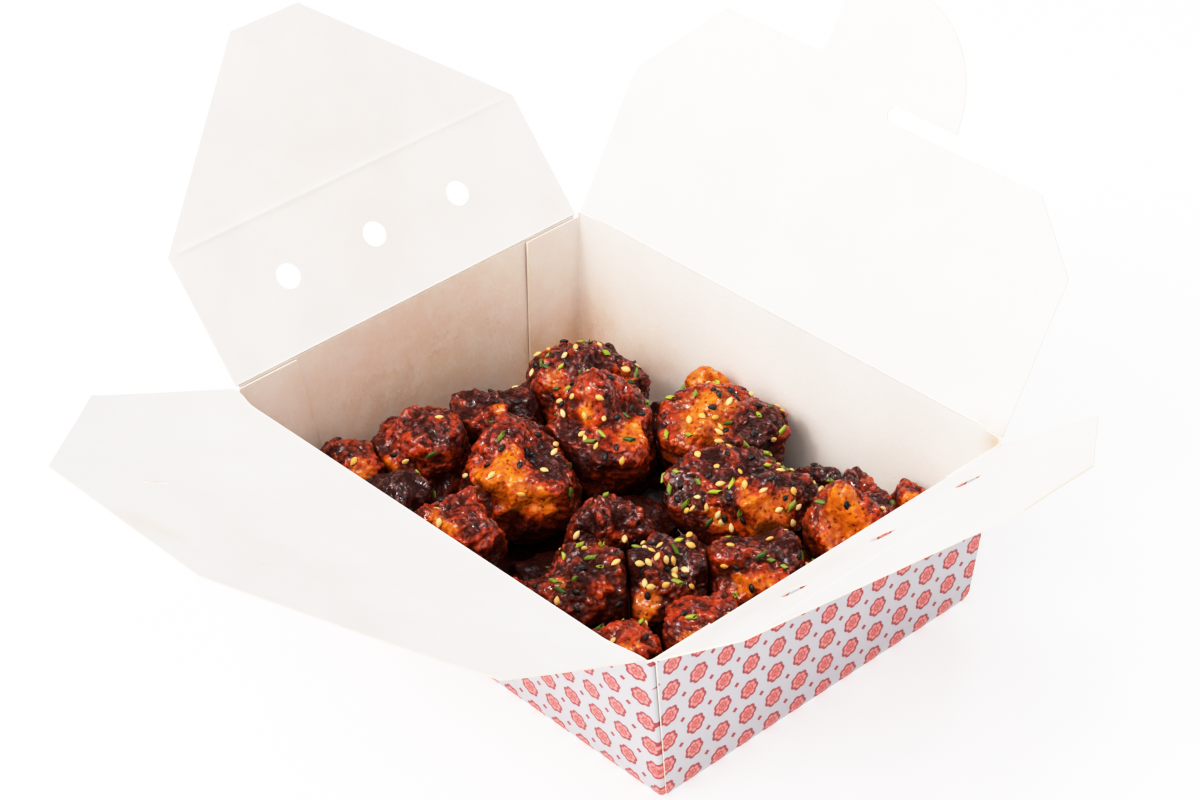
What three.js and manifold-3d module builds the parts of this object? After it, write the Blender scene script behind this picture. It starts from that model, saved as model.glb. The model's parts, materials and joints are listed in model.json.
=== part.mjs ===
// A takeaway box folded from white-lined paperboard, standing open with its four lid flaps
// up, and heaped with glazed fried chicken pieces, sesame seeds and chopped chives.
// Millimetres, +Z up, long side along X. The origin is the centre of the base's underside.

import * as THREE from "three";
import { mergeVertices } from "three/addons/utils/BufferGeometryUtils.js";
import Module from "manifold-3d";

const wasm = await Module();
wasm.setup();

// ---- driving dimensions ----

const board = 0.5;            // thickness of the paperboard
const depth = 64;             // height of the rim folds above the table
const baseLength = 197;
const baseWidth = 144;
const rimLength = 208;
const rimWidth = 159;
const tabWidth = 26;          // glue tabs folded from the long walls, inside the short ones
const tabTop = 63.2;
const shortWallTop = 63.4;
const shortWallLean = 0.7;    // how far a short wall stands off its tabs at the rim
const tabOverlap = 0.02;      // and how far its inside lies in them, so that they are one
const frontWallTop = 64.2;
const frontBow = 3.4;         // outward bow of the front wall's rim between its corners
const backWallTop = 64.5;
const backBow = 0.8;
const bowRun = 16;            // length over which a bowed rim comes back to its corner
const hingeGap = 0.3;         // from a fold's axis to the flap's edge

// Where each lid flap folds, how far it stands above the horizontal, and which way is out
const flapFolds = {
  back_flap: { x: 0, y: 80.4, z: 65.3, open: 58, heading: 0 },
  front_flap: { x: -1, y: -83, z: 64.9, open: 24, heading: 180 },
  left_flap: { x: -105.2, y: 0, z: 64, open: 50, heading: 90 },
  right_flap: { x: 105.2, y: 0, z: 64, open: 38, heading: -90 },
};

const coverHalf = 103.5;      // half the width of the front and back flaps
const frontReach = 122;       // fold to far edge
const frontCut = 57;          // where its slanting sides start
const frontTipHalf = 37.8;
const frontBendStart = 44;    // the flap curls up a little between these distances
const frontBendEnd = 76;
const frontBend = 7.5;        // degrees
const slit = { from: -27, to: 31, at: 87, bar: 6, width: 0.35 };

const ventHalf = 78.4;        // half the width of the side flaps
const ventReach = 112.2;
const ventTipHalf = 15;
const creaseAt = 49.4;        // pressed crease, and the start of the slanting sides
const creaseInset = 4;
const creaseWidth = 1.6;
const creaseRise = 0.3;
const ventHole = { radius: 4.65, at: 25.8, pitch: 38.7, leftMiddle: -1.5 };   // mm towards the back

const lock = {                // the back flap's tongue and slot
  shoulder: 77.5, shoulderHalf: 81, cut: 56, slotRadius: 2.9, slotEnd: 13.5, slotMouth: 41.8,
  centre: 0.6, centreAt: 82, radius: 40.3, straightSide: -24.5, leftShoulder: 90, leftCut: -73,
};

const pieceGap = 0.3;         // between touching pieces
const crustForm = {           // on a ball of radius 1: ranges are lowest value and spread
  knobs: 20, raisedShare: 0.7, height: [0.08, 0.18], dent: [0.09, 0.16], width: [0.2, 0.25],
  cuts: 5, cutAt: [0.75, 0.15],
};
const drawStart = { perPiece: 97, plus: 13 };
const nearShare = 1.4;        // pieces further apart than this, of their reaches, don't touch
const seedSize = { length: 3.5, width: 2.3, widthRange: [0.85, 0.3], height: 1.5, lift: 0.25 };
const chiveSize = { length: 3.4, lengthRange: [0.7, 0.6], radius: 1.05, lift: 0.45 };
const toppingSpots = { apart: 0.34, lowest: 0.1, margin: 2.6, attempts: 400 };

// The chicken pieces. at: centre. size: half length, half depth, rise above the centre and
// drop below it. turn: heading of the length. seeds, chives: how many lie on the piece.
const pieces = [
  { at: [-61, 42, 22], size: [23, 19, 17, 21], turn: 35, seeds: 6, chives: 4, detail: 3 },
  { at: [-31, 22, 28], size: [21, 20, 15, 27], turn: 20, seeds: 9, chives: 3, detail: 3 },
  { at: [-3, 53, 30], size: [24, 19, 13, 28], turn: 45, seeds: 8, chives: 4, detail: 3 },
  { at: [-22, 66, 29], size: [8, 7, 7.5, 19], turn: 40, seeds: 0, chives: 1, detail: 2 },
  { at: [-36, -11, 25], size: [22, 21, 16, 24], turn: 55, seeds: 4, chives: 3, detail: 3 },
  { at: [-72, -27, 23], size: [20, 20, 19, 22], turn: 80, seeds: 4, chives: 1, detail: 3 },
  { at: [-80, -56, 26], size: [14, 14, 12, 24], turn: 30, seeds: 1, chives: 0, detail: 2 },
  { at: [-71, 5, 20], size: [20, 18, 12.5, 19], turn: 60, seeds: 3, chives: 1, detail: 2 },
  { at: [-26, -51.5, 25], size: [14, 13.5, 15.5, 24], turn: 30, seeds: 2, chives: 1, detail: 2 },
  { at: [9, -10.5, 24], size: [12.5, 11.5, 13, 23], turn: 10, seeds: 2, chives: 2, detail: 2 },
  { at: [32, 32, 26], size: [27, 19, 14.5, 25], turn: 40, seeds: 13, chives: 7, detail: 3 },
  { at: [62, 8, 25], size: [20, 16, 12.5, 24], turn: 55, seeds: 4, chives: 3, detail: 3 },
  { at: [70, 44, 31], size: [16, 15, 16, 28], turn: 70, seeds: 1, chives: 1, detail: 2 },
  { at: [80, 65, 28], size: [12, 10, 10, 26], turn: 40, seeds: 0, chives: 0, detail: 2 },
  { at: [26, -39, 25], size: [19, 16, 15, 24], turn: 55, seeds: 4, chives: 3, detail: 3 },
  { at: [44, -17, 25], size: [16, 15, 15.5, 24], turn: 75, seeds: 8, chives: 2, detail: 3 },
  { at: [59, -53, 24], size: [17, 15, 11, 23], turn: 40, seeds: 2, chives: 1, detail: 2 },
  { at: [75, -27, 25], size: [18, 16, 12, 24], turn: 50, seeds: 2, chives: 2, detail: 3 },
  { at: [37, 63, 13], size: [13, 10, 13, 12], turn: 20, seeds: 0, chives: 0, detail: 2 },
  { at: [-50, -55, 19], size: [19, 16, 16, 18], turn: 10, seeds: 2, chives: 1, detail: 2 },
  { at: [6, -60, 17], size: [17, 14, 14, 16], turn: 5, seeds: 1, chives: 1, detail: 2 },
  { at: [36, -63, 15], size: [14, 12, 13, 14], turn: 0, seeds: 1, chives: 0, detail: 2 },
  { at: [86, -58, 20], size: [15, 15, 15, 19], turn: 60, seeds: 1, chives: 1, detail: 2 },
  { at: [87, -3, 17], size: [15, 13, 15, 16], turn: 80, seeds: 2, chives: 0, detail: 2 },
  { at: [88, 23, 18], size: [14, 13, 15, 17], turn: 75, seeds: 1, chives: 1, detail: 2 },
  { at: [-5, 12, 8], size: [18, 13, 7, 7], turn: 30, seeds: 0, chives: 0, detail: 2 },
  { at: [-4, -26, 7.5], size: [15, 12, 6.5, 6.5], turn: 60, seeds: 0, chives: 0, detail: 2 },
  { at: [-32, 55, 11], size: [15, 13, 10, 10], turn: 20, seeds: 0, chives: 0, detail: 2 },
  { at: [33, 6, 11], size: [15, 12, 10, 10], turn: 0, seeds: 0, chives: 0, detail: 2 },
  { at: [-85, 30, 9], size: [14, 12, 8, 8], turn: 70, seeds: 0, chives: 0, detail: 2 },
];

// ---- colours read from the photograph ----

const paper = { color: 0xf4f1ee, roughness: 0.55, metalness: 0 };
const crustColours = [0x6e2412, 0x8a3414, 0xa84a18, 0x5a1d12];

// ---- closed meshes in and out of the boolean library ----

function toSolid(geometry) {
  const bare = geometry.clone();
  bare.deleteAttribute("normal");
  bare.deleteAttribute("uv");
  const merged = mergeVertices(bare, 1e-4);
  const mesh = new wasm.Mesh({
    numProp: 3,
    vertProperties: new Float32Array(merged.attributes.position.array),
    triVerts: new Uint32Array(merged.index.array),
  });
  return new wasm.Manifold(mesh);
}

function toGeometry(solid) {
  const mesh = solid.getMesh();
  const geometry = new THREE.BufferGeometry();
  geometry.setAttribute("position", new THREE.BufferAttribute(mesh.vertProperties, 3));
  geometry.setIndex(new THREE.BufferAttribute(mesh.triVerts, 1));
  geometry.computeVertexNormals();
  return geometry;
}

function makeMesh(name, geometry, finish) {
  const mesh = new THREE.Mesh(geometry, new THREE.MeshStandardMaterial(finish));
  mesh.name = name;
  return mesh;
}

// A closed sheet between two matching grids of points: rows of outer and inner points
function makeSheet(outer, inner) {
  const rows = outer.length;
  const columns = outer[0].length;
  const positions = [];
  const index = [];
  for (const grid of [outer, inner]) {
    for (const row of grid) {
      for (const point of row) positions.push(...point);
    }
  }
  const vertex = (side, row, column) => (side * rows + row) * columns + column;
  const addQuad = (a, b, c, d) => index.push(a, b, c, a, c, d);
  for (let r = 0; r < rows - 1; r++) {
    for (let c = 0; c < columns - 1; c++) {
      const [c1, r1] = [c + 1, r + 1];
      addQuad(vertex(0, r, c), vertex(0, r, c1), vertex(0, r1, c1), vertex(0, r1, c));
      addQuad(vertex(1, r, c), vertex(1, r1, c), vertex(1, r1, c1), vertex(1, r, c1));
    }
  }
  const lastRow = rows - 1;
  const lastColumn = columns - 1;
  for (let c = 0; c < lastColumn; c++) {
    addQuad(vertex(0, 0, c), vertex(1, 0, c), vertex(1, 0, c + 1), vertex(0, 0, c + 1));
    addQuad(vertex(0, lastRow, c), vertex(0, lastRow, c + 1), vertex(1, lastRow, c + 1),
      vertex(1, lastRow, c));
  }
  for (let r = 0; r < lastRow; r++) {
    addQuad(vertex(0, r, 0), vertex(0, r + 1, 0), vertex(1, r + 1, 0), vertex(1, r, 0));
    addQuad(vertex(0, r, lastColumn), vertex(1, r, lastColumn), vertex(1, r + 1, lastColumn),
      vertex(0, r + 1, lastColumn));
  }
  const geometry = new THREE.BufferGeometry();
  geometry.setAttribute("position", new THREE.Float32BufferAttribute(positions, 3));
  geometry.setIndex(index);
  return geometry;
}

function makeBox(x, y, z, centre, tilt = 0) {
  const box = new THREE.BoxGeometry(x, y, z);
  box.rotateX(tilt);
  box.translate(...centre);
  return box;
}

// ---- the tray: base, four sloping walls and the glue tabs ----

const halfLengthAt = (z) => THREE.MathUtils.lerp(baseLength, rimLength, z / depth) / 2;
const halfWidthAt = (z) => THREE.MathUtils.lerp(baseWidth, rimWidth, z / depth) / 2;

// How much of a bow a wall has at x: none at its corners, all of it past bowRun
function bowShare(x, z) {
  const run = Math.min(1, (halfLengthAt(z) - Math.abs(x)) / bowRun);
  return run * run * (3 - 2 * run);
}

function makeLongWall(side, top, bow) {
  const along = [-1, -0.96, -0.92, -0.84, 0, 0.84, 0.92, 0.96, 1];
  const heights = [0, top / 2, top];
  const rowAt = (offset) => (z) => along.map((share) => {
    const x = share * halfLengthAt(z);
    const y = halfWidthAt(z) + bow * (z / depth) * bowShare(x, z) - offset;
    return [x, side * y, z];
  });
  const outer = heights.map(rowAt(0));
  const inner = heights.map(rowAt(board));
  return side < 0 ? makeSheet(outer, inner) : makeSheet(inner, outer);
}

function makeShortWall(side) {
  const rowAt = (offset) => (z) => [-1, 1].map((share) => [
    side * (halfLengthAt(z) + shortWallLean * (z / depth) + offset), share * halfWidthAt(z), z,
  ]);
  const outer = [0, shortWallTop].map(rowAt(board));
  const inner = [0, shortWallTop].map(rowAt(-tabOverlap));
  return side > 0 ? makeSheet(outer, inner) : makeSheet(inner, outer);
}

function makeTab(side, end) {
  const rowAt = (offset) => (z) => [halfWidthAt(z) - tabWidth, halfWidthAt(z) - board / 2]
    .map((y) => [side * (halfLengthAt(z) - offset), end * y, z]);
  const outer = [0, tabTop].map(rowAt(0));
  const inner = [0, tabTop].map(rowAt(board));
  return side * end > 0 ? makeSheet(outer, inner) : makeSheet(inner, outer);
}

function makeTray() {
  const floor = makeBox(baseLength + board, baseWidth, board, [0, 0, board / 2]);
  let solid = toSolid(floor)
    .add(toSolid(makeLongWall(-1, frontWallTop, frontBow)))
    .add(toSolid(makeLongWall(1, backWallTop, backBow)));
  for (const side of [-1, 1]) {
    solid = solid.add(toSolid(makeShortWall(side)));
    for (const end of [-1, 1]) solid = solid.add(toSolid(makeTab(side, end)));
  }
  return toGeometry(solid);
}

// ---- the lid flaps, each drawn flat: x along its fold, y outwards, inner face up ----

function extrudeBoard(shape) {
  const geometry = new THREE.ExtrudeGeometry(shape, {
    depth: board, bevelEnabled: false, curveSegments: 9,
  });
  geometry.translate(0, 0, -board / 2);
  return geometry;
}

function makeBackFlap() {
  const l = lock;
  const start = Math.atan2(l.shoulder + 2 * l.slotRadius - l.centreAt, l.slotMouth - l.centre);
  const end = THREE.MathUtils.degToRad(117);
  const shape = new THREE.Shape();
  shape.moveTo(-coverHalf, hingeGap);
  shape.lineTo(coverHalf, hingeGap);
  shape.lineTo(coverHalf, l.cut);
  shape.lineTo(l.shoulderHalf, l.shoulder);
  shape.lineTo(l.slotEnd, l.shoulder);
  shape.absarc(l.slotEnd, l.shoulder + l.slotRadius, l.slotRadius, -Math.PI / 2, Math.PI / 2, true);
  shape.absarc(l.centre, l.centreAt, l.radius, start, end, false);
  shape.quadraticCurveTo(l.straightSide, 116, l.straightSide, 110);
  shape.lineTo(l.straightSide, 96);
  shape.quadraticCurveTo(l.straightSide, l.leftShoulder, l.straightSide - 5, l.leftShoulder);
  shape.lineTo(l.leftCut, l.leftShoulder);
  shape.lineTo(-coverHalf + 1.5, l.cut + 2);
  shape.lineTo(-coverHalf, l.cut - 3);
  return extrudeBoard(shape);
}

// middle: where the middle hole lies along the flap
function makeVentFlap(middle) {
  const shape = new THREE.Shape();
  shape.moveTo(-ventHalf, hingeGap);
  shape.lineTo(ventHalf, hingeGap);
  shape.lineTo(ventHalf, creaseAt);
  shape.lineTo(ventTipHalf, ventReach);
  shape.lineTo(-ventTipHalf, ventReach);
  shape.lineTo(-ventHalf, creaseAt);
  for (const step of [-1, 0, 1]) {
    const hole = new THREE.Path();
    const x = step * ventHole.pitch + middle;
    hole.absarc(x, ventHole.at, ventHole.radius, 0, 2 * Math.PI, true);
    shape.holes.push(hole);
  }
  const length = 2 * (ventHalf - creaseInset);
  const bead = makeBox(length, creaseWidth, 2 * creaseRise, [0, creaseAt, board / 2]);
  const groove = makeBox(length, creaseWidth / 2, creaseRise, [0, creaseAt, -board / 2]);
  return toGeometry(toSolid(extrudeBoard(shape)).add(toSolid(bead)).subtract(toSolid(groove)));
}

// Height profile of the front flap: flat, then curling up over its bend, then flat again
function frontProfile(distance) {
  const bend = THREE.MathUtils.degToRad(frontBend);
  const run = frontBendEnd - frontBendStart;
  const inBend = THREE.MathUtils.clamp(distance - frontBendStart, 0, run);
  const angle = bend * inBend / run;
  const radius = run / bend;
  const after = Math.max(0, distance - frontBendEnd);
  return {
    y: Math.min(distance, frontBendStart) + radius * Math.sin(angle) + after * Math.cos(bend),
    z: radius * (1 - Math.cos(angle)) + after * Math.sin(bend),
    angle,
  };
}

function makeFrontFlap() {
  const distances = [hingeGap, frontBendStart, 50, frontCut, 64, 70, frontBendEnd, frontReach];
  const rowAt = (offset) => (distance) => {
    const point = frontProfile(distance);
    const past = THREE.MathUtils.clamp((distance - frontCut) / (frontReach - frontCut), 0, 1);
    const half = THREE.MathUtils.lerp(coverHalf, frontTipHalf, past);
    const y = point.y - offset * Math.sin(point.angle);
    const z = point.z + offset * Math.cos(point.angle);
    return [-half, half].map((x) => [x, y, z]);
  };
  const sheet = makeSheet(distances.map(rowAt(board / 2)), distances.map(rowAt(-board / 2)));
  const middle = (slit.from + slit.to) / 2;
  const place = frontProfile(slit.at);
  let cut = toSolid(makeBox(slit.to - slit.from, slit.width, 2, [middle, place.y, place.z],
    place.angle));
  for (const x of [slit.from, slit.to]) {
    cut = cut.add(toSolid(makeBox(slit.width, slit.bar, 2, [x, place.y, place.z], place.angle)));
  }
  return toGeometry(toSolid(sheet).subtract(cut));
}

function hangFlap(name, geometry) {
  const fold = flapFolds[name];
  const holder = new THREE.Group();
  holder.position.set(fold.x, fold.y, fold.z);
  holder.rotation.z = THREE.MathUtils.degToRad(fold.heading);
  const flap = makeMesh(name, geometry, paper);
  flap.rotation.x = THREE.MathUtils.degToRad(fold.open);
  holder.add(flap);
  return holder;
}

// ---- the chicken ----

// Draws between 0 and 1, the same for the same piece: a linear congruential generator
function makeRandom(number) {
  let state = drawStart.perPiece * number + drawStart.plus;
  return () => {
    state = (Math.imul(state, 1664525) + 1013904223) >>> 0;
    return state / 2 ** 32;
  };
}

function randomDirection(random) {
  const z = 2 * random() - 1;
  const angle = 2 * Math.PI * random();
  const flat = Math.sqrt(1 - z * z);
  return new THREE.Vector3(flat * Math.cos(angle), flat * Math.sin(angle), z);
}

// The crust's knobs and dents: round bumps of random height and width on the ball. A few
// flat cuts make the chunk under the crust angular.
function makeCrust(random) {
  const draw = ([lowest, range]) => lowest + range * random();
  const knobs = [];
  for (let k = 0; k < crustForm.knobs; k++) {
    const toward = randomDirection(random);
    const isRaised = random() < crustForm.raisedShare;
    const height = isRaised ? draw(crustForm.height) : -draw(crustForm.dent);
    knobs.push({ toward, height, width: draw(crustForm.width) });
  }
  const cuts = [];
  for (let k = 0; k < crustForm.cuts; k++) {
    cuts.push({ toward: randomDirection(random), at: draw(crustForm.cutAt) });
  }
  return { knobs, cuts };
}

function reach(direction, crust) {
  let total = 1;
  for (const cut of crust.cuts) {
    const facing = direction.dot(cut.toward);
    if (facing * total > cut.at) total = cut.at / facing;
  }
  for (const knob of crust.knobs) {
    const apart = direction.distanceToSquared(knob.toward);
    total += knob.height * Math.exp(-apart / (knob.width * knob.width));
  }
  return total;
}

function shapePoint(piece, direction, crust) {
  const [halfLength, halfDepth, rise, drop] = piece.size;
  const scale = reach(direction, crust);
  return new THREE.Vector3(
    direction.x * halfLength * scale,
    direction.y * halfDepth * scale,
    direction.z * (direction.z > 0 ? rise : drop) * scale,
  ).applyAxisAngle(new THREE.Vector3(0, 0, 1), THREE.MathUtils.degToRad(piece.turn));
}

// How far the smooth body of a piece reaches along a world direction
function supportOf(piece, direction) {
  const [halfLength, halfDepth, rise, drop] = piece.size;
  const local = direction.clone()
    .applyAxisAngle(new THREE.Vector3(0, 0, 1), -THREE.MathUtils.degToRad(piece.turn));
  const height = local.z > 0 ? rise : drop;
  return Math.hypot(local.x * halfLength, local.y * halfDepth, local.z * height);
}

// Planes that a piece stays behind: the board inside, and one towards each neighbour
function limitsOf(piece) {
  const centre = new THREE.Vector3(...piece.at);
  const slopeX = (rimLength - baseLength) / 2 / depth;
  const slopeY = (rimWidth - baseWidth) / 2 / depth;
  const inset = 2 * board + pieceGap;
  const limits = [{ normal: new THREE.Vector3(0, 0, -1), offset: -(board + pieceGap) }];
  for (const side of [-1, 1]) {
    limits.push({ normal: new THREE.Vector3(side, 0, -slopeX), offset: baseLength / 2 - inset });
    limits.push({ normal: new THREE.Vector3(0, side, -slopeY), offset: baseWidth / 2 - inset });
  }
  for (const other of pieces) {
    if (other === piece) continue;
    const toward = new THREE.Vector3(...other.at).sub(centre);
    const apart = toward.length();
    toward.normalize();
    const own = supportOf(piece, toward);
    const theirs = supportOf(other, toward.clone().negate());
    if (apart > nearShare * (own + theirs)) continue;
    const stop = apart * own / (own + theirs) - pieceGap / 2;
    limits.push({ normal: toward, offset: toward.dot(centre) + stop });
  }
  return limits.map(({ normal, offset }) => ({ normal, room: offset - normal.dot(centre) }));
}

function holdBack(local, limits, margin) {
  let share = 1;
  for (const { normal, room } of limits) {
    const wanted = normal.dot(local);
    if (wanted > room - margin) share = Math.min(share, (room - margin) / wanted);
  }
  return share;
}

function makeSphere(detail) {
  const sphere = new THREE.IcosahedronGeometry(1, detail);
  sphere.deleteAttribute("normal");
  sphere.deleteAttribute("uv");
  return sphere;
}

function makeSeed(growth) {
  const seed = new THREE.SphereGeometry(0.5, 6, 3);
  seed.rotateZ(Math.PI / 2);
  const [narrowest, range] = seedSize.widthRange;
  seed.scale(seedSize.length, seedSize.width * (narrowest + range * growth), seedSize.height);
  return seed;
}

function makeChive(growth) {
  const [shortest, range] = chiveSize.lengthRange;
  const length = chiveSize.length * (shortest + range * growth);
  const chive = new THREE.CylinderGeometry(chiveSize.radius, chiveSize.radius, length, 6);
  chive.rotateZ(Math.PI / 2);
  return chive;
}

// Where a ray from the piece's centre leaves its faces
function leaveBody(body, direction) {
  return new THREE.Raycaster(new THREE.Vector3(), direction).intersectObject(body)[0];
}

function layTopping(topping, hit, spin, lift) {
  const normal = hit.face.normal;
  const turned = new THREE.Quaternion().setFromUnitVectors(new THREE.Vector3(0, 0, 1), normal);
  topping.rotateZ(2 * Math.PI * spin);
  topping.applyQuaternion(turned);
  topping.translate(...hit.point.clone().addScaledVector(normal, lift));
  return topping;
}

// Spots for a piece's toppings: on its upper side, apart from each other, and clear of
// whatever holds the piece back. Each spot has draws of its own for its topping.
function chooseSpots(random, piece, crust, limits, body) {
  const { apart, lowest, margin, attempts } = toppingSpots;
  const count = piece.seeds + piece.chives;
  const spots = [];
  for (let attempt = 0; attempt < attempts && spots.length < count; attempt++) {
    const direction = randomDirection(random);
    const [growth, spin] = [random(), random()];
    if (direction.z < lowest) continue;
    if (spots.some((spot) => spot.direction.distanceTo(direction) < apart)) continue;
    if (holdBack(shapePoint(piece, direction, crust), limits, margin) < 1) continue;
    const hit = leaveBody(body, direction);
    if (holdBack(hit.point, limits, margin) < 1) continue;
    spots.push({ direction, growth, spin, hit });
  }
  return spots;
}

function makeChicken(piece, number) {
  const random = makeRandom(number);
  const crust = makeCrust(random);
  const limits = limitsOf(piece);
  const geometry = mergeVertices(makeSphere(piece.detail), 1e-4);
  const points = geometry.attributes.position;
  for (let i = 0; i < points.count; i++) {
    const direction = new THREE.Vector3().fromBufferAttribute(points, i).normalize();
    const local = shapePoint(piece, direction, crust);
    local.multiplyScalar(holdBack(local, limits, 0));
    points.setXYZ(i, ...local);
  }
  const body = new THREE.Mesh(geometry, new THREE.MeshBasicMaterial({ side: THREE.DoubleSide }));
  let solid = toSolid(geometry);
  chooseSpots(random, piece, crust, limits, body).forEach(({ growth, spin, hit }, i) => {
    const isSeed = i < piece.seeds;
    const topping = isSeed ? makeSeed(growth) : makeChive(growth);
    const { lift } = isSeed ? seedSize : chiveSize;
    solid = solid.add(toSolid(layTopping(topping, hit, spin, lift)));
  });
  const name = `chicken_${String(number).padStart(2, "0")}`;
  const finish = { color: crustColours[number % crustColours.length], roughness: 0.3, metalness: 0 };
  const mesh = makeMesh(name, toGeometry(solid), finish);
  mesh.position.set(...piece.at);
  return mesh;
}

// ---- the whole box ----

const group = new THREE.Group();
group.add(makeMesh("tray", makeTray(), paper));
group.add(hangFlap("back_flap", makeBackFlap()));
group.add(hangFlap("front_flap", makeFrontFlap()));
group.add(hangFlap("left_flap", makeVentFlap(ventHole.leftMiddle)));
group.add(hangFlap("right_flap", makeVentFlap(0)));
pieces.forEach((piece, i) => group.add(makeChicken(piece, i + 1)));

export default group;
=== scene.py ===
import itertools
import json
import math

import bpy
import numpy as np
from mathutils import Matrix, Vector
from mathutils.geometry import delaunay_2d_cdt


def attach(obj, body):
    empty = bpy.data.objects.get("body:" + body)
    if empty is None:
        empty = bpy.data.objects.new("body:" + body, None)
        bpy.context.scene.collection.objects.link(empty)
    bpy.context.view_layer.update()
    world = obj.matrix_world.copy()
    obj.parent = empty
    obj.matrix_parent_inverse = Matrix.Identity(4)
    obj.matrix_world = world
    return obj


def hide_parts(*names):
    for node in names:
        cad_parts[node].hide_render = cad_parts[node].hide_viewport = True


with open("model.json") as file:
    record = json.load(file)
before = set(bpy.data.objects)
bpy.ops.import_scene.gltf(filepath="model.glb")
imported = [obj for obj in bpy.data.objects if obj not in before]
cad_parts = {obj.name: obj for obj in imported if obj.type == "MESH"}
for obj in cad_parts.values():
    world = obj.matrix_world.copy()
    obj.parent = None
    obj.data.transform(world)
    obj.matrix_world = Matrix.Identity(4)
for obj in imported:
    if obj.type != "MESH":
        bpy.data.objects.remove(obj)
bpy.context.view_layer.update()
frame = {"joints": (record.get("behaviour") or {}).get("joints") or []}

# Everything below is in millimetres, +Z up, and becomes metres in newMesh
mm = 0.001
board = 0.5                     # thickness of the paperboard
foldAt = {row["child"]: np.array(row["pos_m"]) / mm for row in frame["joints"]}

view = {
    "azimuth": 49.357, "elevation": 34.675, "roll": 2.961,
    "place": (653.8, -565.5, 668.1), "lens": 94.2, "sensor": 36.0,
}


# the camera's three axes: to the right of the picture, up it, and back towards the viewer
def cameraAxes():
    azimuth, elevation, roll = (math.radians(view[k]) for k in ("azimuth", "elevation", "roll"))
    back = np.array([
        math.sin(azimuth) * math.cos(elevation), -math.cos(azimuth) * math.cos(elevation),
        math.sin(elevation),
    ])
    right = np.array([math.cos(azimuth), math.sin(azimuth), 0.0])
    up = np.cross(back, right)
    return (
        math.cos(roll) * right - math.sin(roll) * up,
        math.sin(roll) * right + math.cos(roll) * up,
        back,
    )


def makeCamera():
    right, up, back = cameraAxes()
    data = bpy.data.cameras.new("camera")
    data.lens = view["lens"]
    data.sensor_width = view["sensor"]
    data.clip_end = 20.0
    camera = bpy.data.objects.new("camera", data)
    bpy.context.collection.objects.link(camera)
    turned = Matrix([list(row) for row in np.array([right, up, back]).T]).to_4x4()
    camera.matrix_world = Matrix.Translation(Vector(view["place"]) * mm) @ turned
    bpy.context.scene.camera = camera


def newMesh(name, points, faces, materials, faceSlots=None, uv=None, attributes=None, sharp=None):
    mesh = bpy.data.meshes.new(name)
    mesh.vertices.add(len(points))
    mesh.vertices.foreach_set("co", (np.asarray(points) * mm).astype(np.float32).ravel())
    count, corners = faces.shape
    mesh.loops.add(count * corners)
    mesh.loops.foreach_set("vertex_index", faces.astype(np.int32).ravel())
    mesh.polygons.add(count)
    mesh.polygons.foreach_set("loop_start", np.arange(0, count * corners, corners, dtype=np.int32))
    for material in materials:
        mesh.materials.append(material)
    if faceSlots is not None:
        mesh.polygons.foreach_set("material_index", faceSlots.astype(np.int32))
    mesh.update(calc_edges=True)
    mesh.validate()
    mesh.shade_smooth()
    if uv is not None:
        layer = mesh.uv_layers.new(name="flat")
        layer.data.foreach_set("uv", uv[faces.ravel()].astype(np.float32).ravel())
    for title, values in (attributes or {}).items():
        column = mesh.attributes.new(title, "FLOAT", "POINT")
        column.data.foreach_set("value", values.astype(np.float32))
    if sharp is not None:
        mesh.set_sharp_from_angle(angle=math.radians(sharp))
    piece = bpy.data.objects.new(name, mesh)
    bpy.context.collection.objects.link(piece)
    return piece


# quads between the points of a grid stored row by row
def gridFaces(rows, columns, wrapColumns=False):
    across = columns if wrapColumns else columns - 1
    r, c = np.meshgrid(np.arange(rows - 1), np.arange(across), indexing="ij")
    here = r * columns + c
    beside = r * columns + (c + 1) % columns
    return np.stack([here, beside, beside + columns, here + columns], -1).reshape(-1, 4)


# rows of several small parts put after one another as one mesh
def joinParts(parts):
    points, faces, extras, start = [], [], [], 0
    for part in parts:
        points.append(part[0])
        faces.append(part[1] + start)
        extras.append(part[2:])
        start += len(part[0])
    return np.vstack(points), np.vstack(faces), [np.concatenate(k) for k in zip(*extras)]


# numbers between 0 and 1 for whole cells of space: products with large primes, then mixed
def hashCells(cells, seed):
    x, y, z = (cells[..., k].astype(np.int64).astype(np.uint32) for k in range(3))
    mixed = x * np.uint32(374761393) + y * np.uint32(668265263) + z * np.uint32(2246822519)
    mixed = mixed + np.uint32(seed * 9747 + 77)
    mixed = (mixed ^ (mixed >> np.uint32(13))) * np.uint32(1274126177)
    return ((mixed ^ (mixed >> np.uint32(16))) & np.uint32(0xFFFFFF)) / float(0x1000000)


# soft noise from -1 to 1: the eight corners of a point's cell, blended by smooth steps
def softNoise(points, size, seed):
    scaled = points / size
    base = np.floor(scaled)
    part = scaled - base
    part = part * part * (3 - 2 * part)
    total = np.zeros(len(points))
    for corner in itertools.product((0, 1), repeat=3):
        weight = np.prod(np.where(corner, part, 1 - part), axis=-1)
        total += weight * hashCells(base + corner, seed)
    return 2 * total - 1


# round blobs: the highest of the domes that stand at a random spot in each nearby cell
def blobs(points, size, seed):
    scaled = points / size
    base = np.floor(scaled)
    height = np.zeros(len(points))
    for step in itertools.product((-1, 0, 1), repeat=3):
        cell = base + step
        spot = cell + np.stack([hashCells(cell, seed + k) for k in range(3)], -1)
        tall = 0.35 + 0.65 * hashCells(cell, seed + 3)
        wide = 0.45 + 0.5 * hashCells(cell, seed + 4)
        apart = ((scaled - spot) ** 2).sum(-1)
        height = np.maximum(height, tall * (1 - apart / wide ** 2))
    return height


def smoothStep(value, low, high):
    share = np.clip((value - low) / (high - low), 0, 1)
    return share * share * (3 - 2 * share)


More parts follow.
